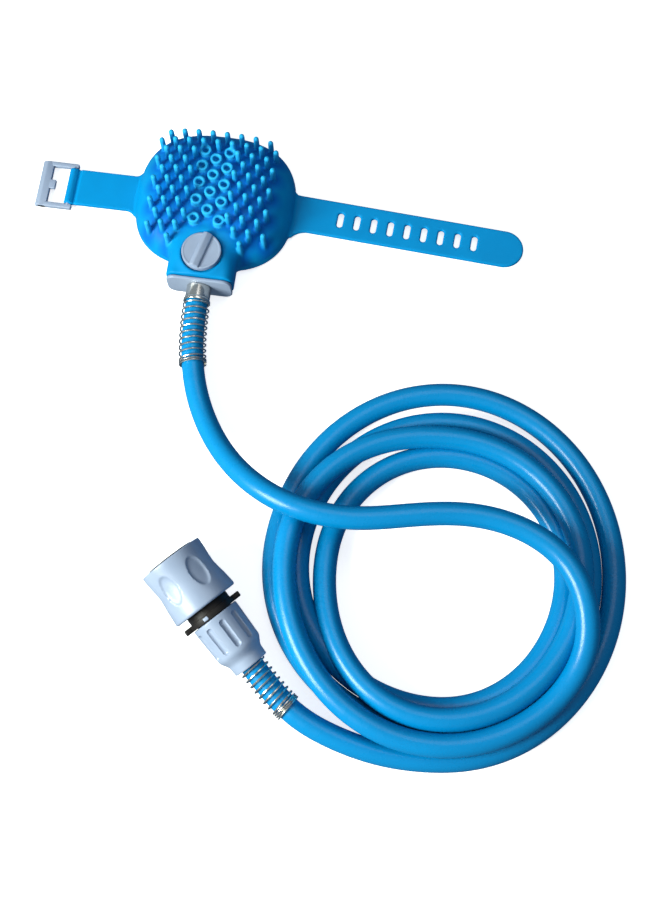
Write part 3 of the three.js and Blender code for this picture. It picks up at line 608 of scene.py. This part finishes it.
def add_painted_light_and_shade(piece, vertices):
    """Two painted tones for each point: painted light on the pins, growing with how far it stands up from
    the face, and on the rings and into their shaded cups;
    and painted shade for how deep it lies among the pins and rings."""
    x, y, z = vertices.T
    above = z - face_height(x, y)
    from_pin, from_ring = np.full((2, len(x)), 1.0)
    for px, py in pin_centres():
        from_pin = np.minimum(from_pin, np.hypot(x - px, y - py))
    for px, py in ring_centres():
        from_ring = np.minimum(from_ring, np.hypot(x - px, y - py))
    on_ring = from_ring < RING["outer"] + 0.0002
    on_pin = from_pin < PIN["root"] + 0.0006
    # Painted light: the rings paler, their shaded cups too, and the pins paler towards their tips.
    ring_tone = np.clip(0.6 + above / RING["height"], 0, 1) * on_ring
    pin_tone = np.clip(above / (0.7 * PIN["height"]), 0, 1) * on_pin
    pin_ring_painted_light = np.maximum(ring_tone, pin_tone)
    # Painted shade: darker low down among the pins and rings, where shade falls between them; none on the
    # rings or the lowest skirt.
    depth = np.clip(1.6 - np.minimum(from_pin, from_ring) / 0.005, 0, 1) * np.clip(1 - above / 0.004, 0, 1)
    depth = np.where(on_ring | (z < HEAD["base"] + 0.004), 0, depth)
    for name, tone in (("pin_ring_painted_light", pin_ring_painted_light), ("depth", depth)):
        attribute = piece.data.attributes.new(name, "FLOAT", "POINT")
        attribute.data.foreach_set("value", tone.astype(np.float32))


# ---- Straps and buckle ---------------------------------------------------------------
def strap_field(length_from, length_to):
    half = STRAP["width"] / 2
    margin = 0.002
    side_room = margin + max(ROOT_FILLETS.values())
    low = (length_from - margin, -half - side_room, -0.005)
    high = (length_to + margin, half + side_room, 0.005)
    return Field(low, high, 0.0004)


def split_along_x(part, places):
    """A mesh cut through at some x, as one mesh for each stretch between."""
    stretches = []
    for low, high in zip([None, *places], [*places, None]):
        mesh = bpy.data.meshes.new("stretch")
        mesh.from_pydata([tuple(v) for v in part[0]], [], [tuple(f) for f in part[1]])
        work = bmesh.new()
        work.from_mesh(mesh)
        for place, direction in ((low, -1), (high, 1)):
            if place is not None:
                geometry = work.verts[:] + work.edges[:] + work.faces[:]
                bmesh.ops.bisect_plane(
                    work, geom=geometry, plane_co=(place, 0, 0), plane_no=(direction, 0, 0),
                    clear_outer=True,
                )
        work.verts.index_update()
        points = [v.co.copy() for v in work.verts]
        stretches.append((points, [[v.index for v in f.verts] for f in work.faces]))
        work.free()
        bpy.data.meshes.remove(mesh)
    return stretches


def long_strap(silicone):
    """One strap in three meshes, cut apart at two places along it; each stands in for one of the strap's CAD
    pieces.
    """
    start = -0.0055
    half = STRAP["width"] / 2
    field = strap_field(start, LONG_STRAP_LENGTH)
    end = LONG_STRAP_LENGTH - half
    thick = STRAP["thickness"] / 2
    plan = np.abs(field.y) - strap_half_width(field.x, field.y, 1)
    plan = np.where(field.x > end, np.sqrt((field.x - end) ** 2 + field.y**2) - half, plan)
    plan = np.maximum(plan, start - field.x)
    for k in range(SLOT["count"]):
        across = np.maximum(np.abs(field.y) - (SLOT["length"] - SLOT["width"]) / 2, 0)
        hole = np.sqrt((field.x - SLOT["first"] - k * SLOT["pitch"]) ** 2 + across**2) - SLOT["width"] / 2
        plan = np.maximum(plan, -hole)
    field.value = cut(plan, thick - np.abs(field.z), 0.0011)
    splits = [SLOT["first"] - SLOT["pitch"] / 2, SLOT["first"] + 3.5 * SLOT["pitch"]]
    place = strap_frame(1)
    for i, part in enumerate(split_along_x(field.mesh(), splits)):
        part = placed(part, place)
        piece = add_piece(f"strap_length_{i + 1}", part, silicone)
        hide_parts(["strap_long_root", "strap_long_middle", "strap_long_tip"][i])
        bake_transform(piece)


def short_strap(silicone):
    start = -0.0055
    half, thick = STRAP["width"] / 2, STRAP["thickness"] / 2
    field = strap_field(start, HEM_X + HEM_RADIUS)
    middle, half_length = (start + HEM_X) / 2, (HEM_X - start) / 2
    wide = strap_half_width(field.x, field.y, -1)
    slab = rounded_slab([field.x - middle, field.y, field.z], [half_length, wide, thick], 0.0005)
    beside = np.sqrt((field.x - HEM_X) ** 2 + field.z**2)
    hem = cut(beside - HEM_RADIUS, half - np.abs(field.y), 0.0008)
    crease_x, crease_r = HEM_X - 0.0036, 0.0009
    crease = np.sqrt((field.x - crease_x) ** 2 + (field.z - thick - 0.0002) ** 2) - crease_r
    whole = cut(union(slab, hem, 0.0012), crease, 0.0006)
    field.value = np.maximum(whole, BUCKLE["bar"] + 0.00008 - beside)
    place = strap_frame(-1)
    part = placed(field.mesh(), place)
    piece = add_piece("strap_hemmed", part, silicone, stands_for=["strap_short"])
    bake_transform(piece)


def buckle(plastic):
    """A wide cross bar with a ridge, two arms, a stub prong and the hinge bar."""
    t = BUCKLE["thickness"] / 2
    inner, outer = BUCKLE["arm_inner"], BUCKLE["arm_outer"]
    end, bar_start = BUCKLE["end"], BUCKLE["end"] - BUCKLE["cross_bar"]
    section = [(bar_start, -t), (end, -t), (end, 0.3 * t), (end - 0.0028, t), (bar_start, 0.55 * t)]
    cross = placed(prism(rounded(section, 0.0005), 2 * outer, 0.0005), upright(0, outer, 0))
    arm_end = HEM_X - BUCKLE["bar"] - BUCKLE["arm_overhang"]
    arms = []
    for y0, y1 in ((inner, outer), (-outer, -inner)):
        arm = prism(rounded_rectangle(arm_end, end - 0.001, y0, y1, 0.0009), 1.7 * t, 0.0005)
        arms.append(placed(arm, Matrix.Translation((0, 0, -t))))
    half_prong = BUCKLE["prong_half_width"]
    prong_outline = rounded_rectangle(
        bar_start - BUCKLE["prong_length"], end - 0.001, -half_prong, half_prong, 0.0006
    )
    prong = placed(prism(prong_outline, 0.002, 0.0004), Matrix.Translation((0, 0, -0.001)))
    bar, length = BUCKLE["bar"], inner + 0.001
    rod = turned([(0, -length), (bar, -length), (bar, length), (0, length)], 24, closed=False)
    rod = placed(rod, upright(HEM_X, 0, 0))
    part = placed(joined([cross, *arms, prong, rod]), strap_frame(-1))
    add_piece("buckle_frame", part, plastic, "buckle", ["buckle"])


# ---- Knob, neck plate, ferrule, palm pad ---------------------------------------------
def knob(plastic):
    radius, bottom, top = KNOB["radius"], KNOB["bottom"], KNOB["top"]
    profile = rounded([
        (0, bottom), (radius - 0.0004, bottom), (radius, bottom + 0.0005), (radius, top - 0.0001),
        (radius - 0.0010, top), (radius - 0.0014, top - 0.0002), (0, top - 0.0002),
    ], 0.0004, closed=False)
    disc = turned(profile, 96, closed=False)
    half, height = KNOB["bar_width"] / 2, KNOB["bar_height"]
    ridge_x = -0.15 * half
    section = [
        (-half, 0), (half, 0), (half - 0.0005, 0.62 * height),
        (ridge_x, height), (0.0003 - half, 0.72 * height),
    ]
    length = 2 * (radius - 0.0003)
    bar = prism(rounded(section, 0.0005), length, 0.0007)
    turn = Matrix.Rotation(math.radians(KNOB["turn"]), 4, "Z")
    bar = placed(bar, turn @ upright(0, length / 2, top - 0.0008))
    part = placed(joined([disc, bar]), Matrix.Translation((0, KNOB["y"], 0)))
    add_piece("knob_cap", part, plastic, "valve", ["knob"])


def along_neck(part, start_y=0.0):
    """A part turned about Z, laid along -Y at the height of the inlet."""
    return placed(part, upright(0, start_y, INLET_Z))


def neck_plate(plastic):
    half = PLATE["half_width"]
    outline = rounded_rectangle(-half, half, PLATE["bottom"], PLATE["top"], PLATE["corner"])
    plate = prism(outline, PLATE["thickness"], 0.0007)
    inner_y = PLATE["outer_y"] + PLATE["thickness"]
    part = placed(plate, upright(0, inner_y, 0))
    add_piece("neck_plate_face", part, plastic, "head", ["neck_plate"])


def ferrule(steel):
    inner, outer, lip, length = FERRULE["inner"], FERRULE["outer"], FERRULE["lip"], FERRULE["length"]
    lip_start = length - FERRULE["lip_length"]
    profile = rounded([
        (inner, 0), (outer, 0), (outer, lip_start), (lip, lip_start + 0.0004), (lip, length),
        (inner, length),
    ], 0.0003)
    part = along_neck(turned(profile, 72), PLATE["outer_y"] - 0.0003)
    add_piece("ferrule_sleeve", part, steel, "head", ["head_ferrule"])


def palm_pad(silicone):
    """A thin pad with a rolled edge and two shallow grooves that follow it."""
    scale, thick, sides = 0.61, 0.002, 96
    groove_reach = (0.62, 0.80)
    groove_half, groove_depth = 0.02, 0.0004
    rows = [(0.0, 0.0), (0.3, 0.0)]
    for middle in groove_reach:
        for share in (-1, -0.5, 0, 0.5, 1):
            rows.append((middle + share * groove_half, groove_depth * (1 - abs(share))))
    rows += [(0.94, 0.0), (0.97, 0.0001), (0.99, 0.0004), (1.0, 0.0009), (1.0, thick), (0.0, thick)]
    angles = np.linspace(0, 2 * math.pi, sides, endpoint=False)
    x, y = np.cos(angles), np.sin(angles)
    stretch = scale / head_reach(x * HEAD["half_width"], y * HEAD["half_length"] + HEAD["centre_y"])
    vertices = [
        (s * a * k * HEAD["half_width"], HEAD["centre_y"] + s * b * k * HEAD["half_length"], z)
        for s, z in rows for a, b, k in zip(x, y, stretch)
    ]
    faces = grid_faces(len(rows), sides)
    add_piece("palm_rest_pad", (vertices, faces), silicone, "head", ["palm_pad"])


# ---- Hose and springs ----------------------------------------------------------------
def connector_frame():
    yaw, pitch = math.radians(CONNECTOR["yaw"]), math.radians(CONNECTOR["pitch"])
    axis = Vector((math.cos(yaw) * math.cos(pitch), math.sin(yaw) * math.cos(pitch), -math.sin(pitch)))
    across = Vector((-math.sin(yaw), math.cos(yaw), 0))
    matrix = Matrix((across, axis.cross(across), axis)).transposed().to_4x4()
    matrix.translation = CONNECTOR["mouth"]
    return matrix


def coil_route():
    """The coil's points, clockwise seen from above, from its right side round to the tail."""
    sides = [side for turn in COIL_TURNS for side in turn]
    first, last = 40, 90 * (len(sides) - 1) + 4
    route = []
    for angle in range(first, last, 8):
        k = min(int(angle // 90), len(sides) - 2)
        share = (angle - 90 * k) / 90
        share = share * share * (3 - 2 * share)
        inset = STRAND * (sides[k][0] * (1 - share) + sides[k + 1][0] * share)
        layer = sides[k][1] * (1 - share) + sides[k + 1][1] * share
        a = math.radians(angle)
        route.append((
            COIL["x"] + (COIL["half_width"] - inset) * math.cos(a),
            COIL["y"] - (COIL["half_length"] - inset) * math.sin(a),
            FLOOR_STRAND_Z + LAYER_RISE * layer,
        ))
    return route


def hose_line():
    place = connector_frame()
    into_nut = [place @ Vector((0, 0, NUT["end"])), place @ Vector((0, 0, BARB_START))]
    tail = [Vector(p) for p in reversed(TAIL_ROUTE[:-1])]
    return eased(smooth_line([*LEAD_ROUTE, *coil_route(), *tail, *into_nut]))


def hose(line, vinyl):
    part = tube(line, HOSE_RADIUS, 28)
    stands_for = ["hose_lead", "hose_coil", "hose_tail"]
    return add_piece("hose", part, vinyl, "head", stands_for, sharp=60)


def springs(line, steel):
    """The two bend-relief springs, each from just behind its ferrule or nut."""
    ferrule_end = PLATE["outer_y"] - 0.0003 - FERRULE["length"]
    head_start = LEAD_ROUTE[0][1] - ferrule_end + 0.0004
    nut_end = NUT["end"] - BARB_START
    pieces = []
    for name, path, start, end, open_turns, closed_turns, cad_node in (
        ("spring_at_head", line, head_start, 0.0445, 9.5, 2.5, "head_spring"),
        ("spring_at_connector", line[::-1], nut_end + 0.0008, nut_end + 0.0284, 7.5, 3, "connector_spring"),
    ):
        wire = helix(path, start, end, open_turns, closed_turns, SPRING_RADIUS, SPRING_WIRE)
        part = wire_tube(wire, SPRING_WIRE)
        pieces.append(add_piece(name, part, steel, "head", [cad_node]))
    return pieces


# ---- Connector -----------------------------------------------------------------------
def return_spring(steel):
    """The sleeve's spring, which shortens towards its far end as the sleeve slides back."""
    length = RETURN_SPRING["length"]
    angle = np.linspace(0, 2 * math.pi * RETURN_SPRING["turns"], 140)
    share = angle / angle[-1]
    radius = RETURN_SPRING["radius"]
    line = np.stack(
        [radius * np.cos(angle), radius * np.sin(angle), RETURN_SPRING["start"] + length * share], axis=1
    )
    place = connector_frame()
    part = placed(wire_tube(line, SPRING_WIRE), place)
    piece = add_piece("sleeve_return_spring", part, steel, "head", ["sleeve_spring"])
    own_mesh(piece)
    return piece


def off_nearest(angles, count, phase):
    """How far each angle lies from the nearest of some evenly spaced ones."""
    step = 2 * math.pi / count
    return (angles - math.radians(phase) + step / 2) % step - step / 2


def scoop(angles, z, radius):
    """How far the sleeve's ring of oval recesses reaches into its surface at one height."""
    rim_softness = 0.22
    off = off_nearest(angles, RECESS["count"], RECESS["phase"])
    across, along = off * radius / RECESS["half_width"], (z - RECESS["middle"]) / RECESS["half_length"]
    inside = np.maximum(1 - across**2 - along**2, 0)
    return -RECESS["depth"] * inside / (inside + rim_softness)


def release_sleeve(plastic):
    length, bore, bore_depth = SLEEVE["length"], SLEEVE["bore"], SLEEVE["bore_depth"]
    front, chamber, step, step_end = (SLEEVE[k] for k in ("front", "chamber", "step", "step_end"))
    outside = [(0.0173, 0), (0.0168, 0.008), (0.0167, 0.014), (0.0172, 0.021), (0.018, length)]
    heights = np.linspace(0.0009, length - 0.0009, 56)
    radii = smooth_profile(outside, heights)
    profile = rounded([(bore, bore_depth), (bore, 0), (front, 0)], 0.0003, closed=False)[:-1]
    profile += [(front, 0.0), (front + 0.00028, 0.0003), *zip(radii, heights)]
    profile += [
        (radii[-1] - 0.0003, length - 0.0003), (radii[-1] - 0.0008, length), (chamber, length),
        (chamber, step_end), (step, step_end), (step, bore_depth),
    ]

    def recesses(angles, z, radius):
        on_outside = radius > chamber + 0.0014
        return scoop(angles, z, radius) if on_outside else 0

    part = placed(turned(profile, 192, radius_change=recesses), connector_frame())
    return add_piece("sleeve_grip", part, plastic, "sleeve", ["release_sleeve"])


def smooth_profile(points, heights):
    """Radii at the heights, on a smooth curve through a few (radius, z) points."""
    z = [p[1] for p in points]
    r = [p[0] for p in points]
    fine = np.interp(heights, z, r)
    kernel = np.ones(9) / 9
    padded = np.concatenate([np.full(4, fine[0]), fine, np.full(4, fine[-1])])
    return np.convolve(padded, kernel, "valid")


def ribbed_nut(plastic):
    start, end = NUT["start"], NUT["end"]
    shoulder = start + 0.68 * (end - start)
    half_width, half_length = NUT["flute_half_width"], NUT["flute_half_length"]
    flute_middle = start + 0.0108
    outside = [
        (0.0129, start), (0.0128, start + 0.006), (0.0123, shoulder),
        (0.0097, shoulder + 0.0042), (0.0094, end),
    ]
    heights = np.linspace(start + 0.0006, end - 0.0004, 110)
    radii = smooth_profile(outside, heights)
    profile = [(0.0105, start), (0.0124, start), (0.0127, start + 0.0002), *zip(radii, heights)]
    profile += [
        (0.0092, end), (0.0065, end), (0.0065, end - 0.005), (0.0092, shoulder - 0.003),
        (0.0105, shoulder - 0.004),
    ]

    def flutes(angles, z, radius):
        """Channels of even width with round ends."""
        if radius < 0.0108:
            return 0
        off = off_nearest(angles, NUT["flutes"], NUT["phase"])
        past_end = max(0.0, abs(z - flute_middle) - half_length + half_width)
        inside = 1 - ((off * radius) ** 2 + past_end**2) / half_width**2
        return -NUT["flute_depth"] * np.sqrt(np.clip(inside, 0, 1))

    part = placed(turned(profile, 360, radius_change=flutes), connector_frame())
    return add_piece("nut_grip", part, plastic, "head", ["ribbed_nut"])


def connector_body(plastic, window_plastic):
    profile = rounded([(radius, z) for radius, *ends in CORE.values() for z in ends], 0.0003)
    flange_start, half = CORE["flange"][1], LUG["half_width"]
    lugs = []
    for side in (1, -1):
        near, far = sorted((side * LUG["inner"], side * LUG["outer"]))
        lug = prism(rounded_rectangle(near, far, -half, half, 0.0008), LUG["thickness"], 0.0006)
        lugs.append(placed(lug, Matrix.Translation((0, 0, flange_start))))
    part = placed(joined([turned(profile, 96), *lugs]), connector_frame())
    body = add_piece("connector_core", part, plastic, "head", ["connector_body"])
    window = prism(rounded_rectangle(-0.0014, 0.0014, -0.0009, 0.0009, 0.0004), 0.0009, 0.0002)
    facing = Matrix.Rotation(math.radians(WINDOW_PHASE), 4, "Z") @ Matrix.Translation((0, 0.0126, 0.0347))
    window = placed(window, facing @ Matrix.Rotation(-math.pi / 2, 4, "X"))
    part = placed(window, connector_frame())
    return [body, add_piece("neck_window", part, window_plastic, "head")]


# ---- Materials -----------------------------------------------------------------------
def new_material(name):
    material = bpy.data.materials.new(name)
    material.use_nodes = True
    nodes = material.node_tree.nodes
    return material, nodes, material.node_tree.links, nodes["Principled BSDF"]


def noise(nodes, links, scale, detail):
    where = nodes.new("ShaderNodeTexCoord")
    texture = nodes.new("ShaderNodeTexNoise")
    texture.inputs["Scale"].default_value = scale
    texture.inputs["Detail"].default_value = detail
    links.new(where.outputs["Object"], texture.inputs["Vector"])
    return texture.outputs["Fac"]


def ramp(nodes, links, source, low, high, start=0.3, end=0.7):
    """The stretch of a value between start and end turned into a range."""
    scaled = nodes.new("ShaderNodeMapRange")
    scaled.inputs["From Min"].default_value = start
    scaled.inputs["From Max"].default_value = end
    scaled.inputs["To Min"].default_value = low
    scaled.inputs["To Max"].default_value = high
    links.new(source, scaled.inputs["Value"])
    return scaled.outputs["Result"]


def mixed(nodes, links, share, first, second):
    mix = nodes.new("ShaderNodeMix")
    mix.data_type = "RGBA"
    for socket, value in ((mix.inputs["A"], first), (mix.inputs["B"], second)):
        if isinstance(value, tuple):
            socket.default_value = (*value, 1)
        else:
            links.new(value, socket)
    links.new(share, mix.inputs["Factor"])
    return mix.outputs["Result"]


def moulded(name, dark, light, roughness, bump, grain, metallic=0.0, patch=60, **sockets):
    """A moulded or drawn surface: patchy colour, uneven roughness and a fine grain."""
    material, nodes, links, shader = new_material(name)
    patches = ramp(nodes, links, noise(nodes, links, patch, 3), 0, 1)
    links.new(mixed(nodes, links, patches, dark, light), shader.inputs["Base Color"])
    wear = noise(nodes, links, grain / 4, 3)
    uneven = ramp(nodes, links, wear, roughness - 0.05, roughness + 0.06)
    links.new(uneven, shader.inputs["Roughness"])
    relief = nodes.new("ShaderNodeBump")
    relief.inputs["Strength"].default_value = bump
    relief.inputs["Distance"].default_value = 0.0001
    links.new(noise(nodes, links, grain, 2), relief.inputs["Height"])
    links.new(relief.outputs["Normal"], shader.inputs["Normal"])
    shader.inputs["Metallic"].default_value = metallic
    for socket, value in sockets.items():
        shader.inputs[socket.replace("_", " ")].default_value = value
    return material


def silicone_material():
    """Satin silicone, with painted light on the pins and rings and painted shade between them."""
    material = moulded(
        "silicone", (0.0, 0.22, 0.51), (0.0, 0.245, 0.56), roughness=0.45, bump=0.18, grain=2600,
        Specular_IOR_Level=0.1,
    )
    nodes, links = material.node_tree.nodes, material.node_tree.links
    shader = nodes["Principled BSDF"]
    tone = shader.inputs["Base Color"].links[0].from_socket
    # Painted shade darkens the silicone deep among the pins and rings, and painted light pales the pins and
    # rings themselves.
    for name, colour in (("depth", (0.0, 0.13, 0.48)), ("pin_ring_painted_light", (0.02, 0.38, 0.72))):
        share = nodes.new("ShaderNodeAttribute")
        share.attribute_name = name
        tone = mixed(nodes, links, share.outputs["Fac"], tone, colour)
    links.new(tone, shader.inputs["Base Color"])
    return material


def make_materials():
    return {
        "silicone": silicone_material(),
        "hose": moulded(
            "hose_vinyl", (0.0, 0.195, 0.46), (0.0, 0.215, 0.50), roughness=0.27, bump=0.05, grain=900,
            patch=25, Specular_IOR_Level=0.3,
        ),
        "grey_plastic": moulded(
            "grey_plastic", (0.245, 0.30, 0.41), (0.285, 0.345, 0.46), roughness=0.34, bump=0.10, grain=1800,
        ),
        "black_plastic": moulded(
            "black_plastic", (0.010, 0.009, 0.009), (0.018, 0.015, 0.013), roughness=0.42, bump=0.12,
            grain=1500, Specular_IOR_Level=0.2,
        ),
        "white_plastic": moulded(
            "white_plastic", (0.74, 0.76, 0.82), (0.82, 0.84, 0.88), roughness=0.45, bump=0.12, grain=1500,
        ),
        "seal_rubber": moulded(
            "seal_rubber", (0.02, 0.02, 0.022), (0.03, 0.03, 0.032), roughness=0.55, bump=0.2, grain=2200,
        ),
        "steel": moulded(
            "steel", (0.62, 0.59, 0.53), (0.80, 0.77, 0.71), roughness=0.22, bump=0.03, grain=1400,
            metallic=1.0, patch=120,
        ),
        "brass": moulded(
            "brass", (0.62, 0.42, 0.16), (0.72, 0.52, 0.22), roughness=0.3, bump=0.06, grain=1400,
            metallic=1.0,
        ),
    }


def dress_cad_nodes(materials):
    """The CAD nodes that stay in sight take the material of their slot."""
    for subpart in frame["record"]["subparts"]:
        node = frame["nodes"][subpart["node"]]
        material = materials[subpart["material_slot"]]
        node.data.materials.clear()
        node.data.materials.append(material)


# ---- Studio --------------------------------------------------------------------------
CAMERA_TARGET = Vector((0.08304, -0.13688, 0))
CAMERA_DISTANCE = 0.642
CAMERA_AZIMUTH = 7.5
CAMERA_ELEVATION = 73
CAMERA_LENS = 48
KEY_SIDE = Vector((-0.69, -0.46, 0.55)).normalized()  # where the light comes from
KEY_DISTANCE = 0.87
FLOOR_GLOW = 0.75
FAR_SIDE_TONE = (0.04, 0.085, 0.17)
KEY_SIDE_TONE = (0.34, 0.40, 0.43)


def aimed(name, data, place, direction):
    """An object of the studio that looks along a direction."""
    thing = bpy.data.objects.new(name, data)
    thing.location = place
    thing.rotation_mode = "QUATERNION"
    thing.rotation_quaternion = direction.to_track_quat("-Z", "Y")
    bpy.context.scene.collection.objects.link(thing)
    return thing


def camera():
    a, e = math.radians(CAMERA_AZIMUTH), math.radians(CAMERA_ELEVATION)
    back = Vector((math.sin(a) * math.cos(e), -math.cos(a) * math.cos(e), math.sin(e)))
    data = bpy.data.cameras.new("camera")
    data.lens = CAMERA_LENS
    data.sensor_width = 36
    data.clip_start = 0.01
    bpy.context.scene.camera = aimed("camera", data, CAMERA_TARGET + back * CAMERA_DISTANCE, -back)


def softbox(name, place, size, power, colour=(1, 1, 1)):
    data = bpy.data.lights.new(name, "AREA")
    data.shape = "RECTANGLE"
    data.size, data.size_y = size
    data.energy = power
    data.color = colour
    aimed(name, data, place, CAMERA_TARGET - place)


def studio():
    half = 4.0
    vertices = [(-half, -half, 0), (half, -half, 0), (half, half, 0), (-half, half, 0)]
    paper = moulded(
        "paper", (0.86, 0.86, 0.865), (0.88, 0.88, 0.88), roughness=0.75, bump=0.05, grain=400, patch=8
    )
    shader = paper.node_tree.nodes["Principled BSDF"]
    shader.inputs["Emission Color"].default_value = (1, 1, 1, 1)
    shader.inputs["Emission Strength"].default_value = FLOOR_GLOW
    floor = add_piece("studio_floor", (vertices, [(0, 1, 2, 3)]), paper)
    floor.visible_diffuse = False
    floor.visible_glossy = False
    world = bpy.data.worlds.new("studio_light")
    world.use_nodes = True
    nodes, links = world.node_tree.nodes, world.node_tree.links
    where = nodes.new("ShaderNodeTexCoord")
    facing = nodes.new("ShaderNodeVectorMath")
    facing.operation = "DOT_PRODUCT"
    facing.inputs[1].default_value = KEY_SIDE
    links.new(where.outputs["Generated"], facing.inputs[0])
    share = ramp(nodes, links, facing.outputs["Value"], 0, 1, -0.7, 0.9)
    tone = mixed(nodes, links, share, FAR_SIDE_TONE, KEY_SIDE_TONE)
    links.new(tone, nodes["Background"].inputs["Color"])
    bpy.context.scene.world = world
    softbox("key_light", CAMERA_TARGET + KEY_DISTANCE * KEY_SIDE, (0.4, 0.4), 14.5, (0.95, 1, 0.93))
    softbox("top_light", CAMERA_TARGET + Vector((0.1, 0.3, 1.0)), (0.6, 0.6), 1.6)
    bpy.context.scene.view_settings.view_transform = "Standard"


# ---- Assembly ------------------------------------------------------------------------
materials = make_materials()
camera()
studio()
dress_cad_nodes(materials)

line = hose_line()
hose_piece = hose(line, materials["hose"])
spring_pieces = springs(line, materials["steel"])
on_hose = [
    *spring_pieces,
    release_sleeve(materials["grey_plastic"]),
    ribbed_nut(materials["grey_plastic"]),
    *connector_body(materials["black_plastic"], materials["grey_plastic"]),
    return_spring(materials["steel"]),
    "hose_collet", "claw_ring", "mouth_seal",
]

head_cover(materials["silicone"])
long_strap(materials["silicone"])
short_strap(materials["silicone"])
buckle(materials["grey_plastic"])
knob(materials["grey_plastic"])
neck_plate(materials["grey_plastic"])
ferrule(materials["steel"])
palm_pad(materials["silicone"])
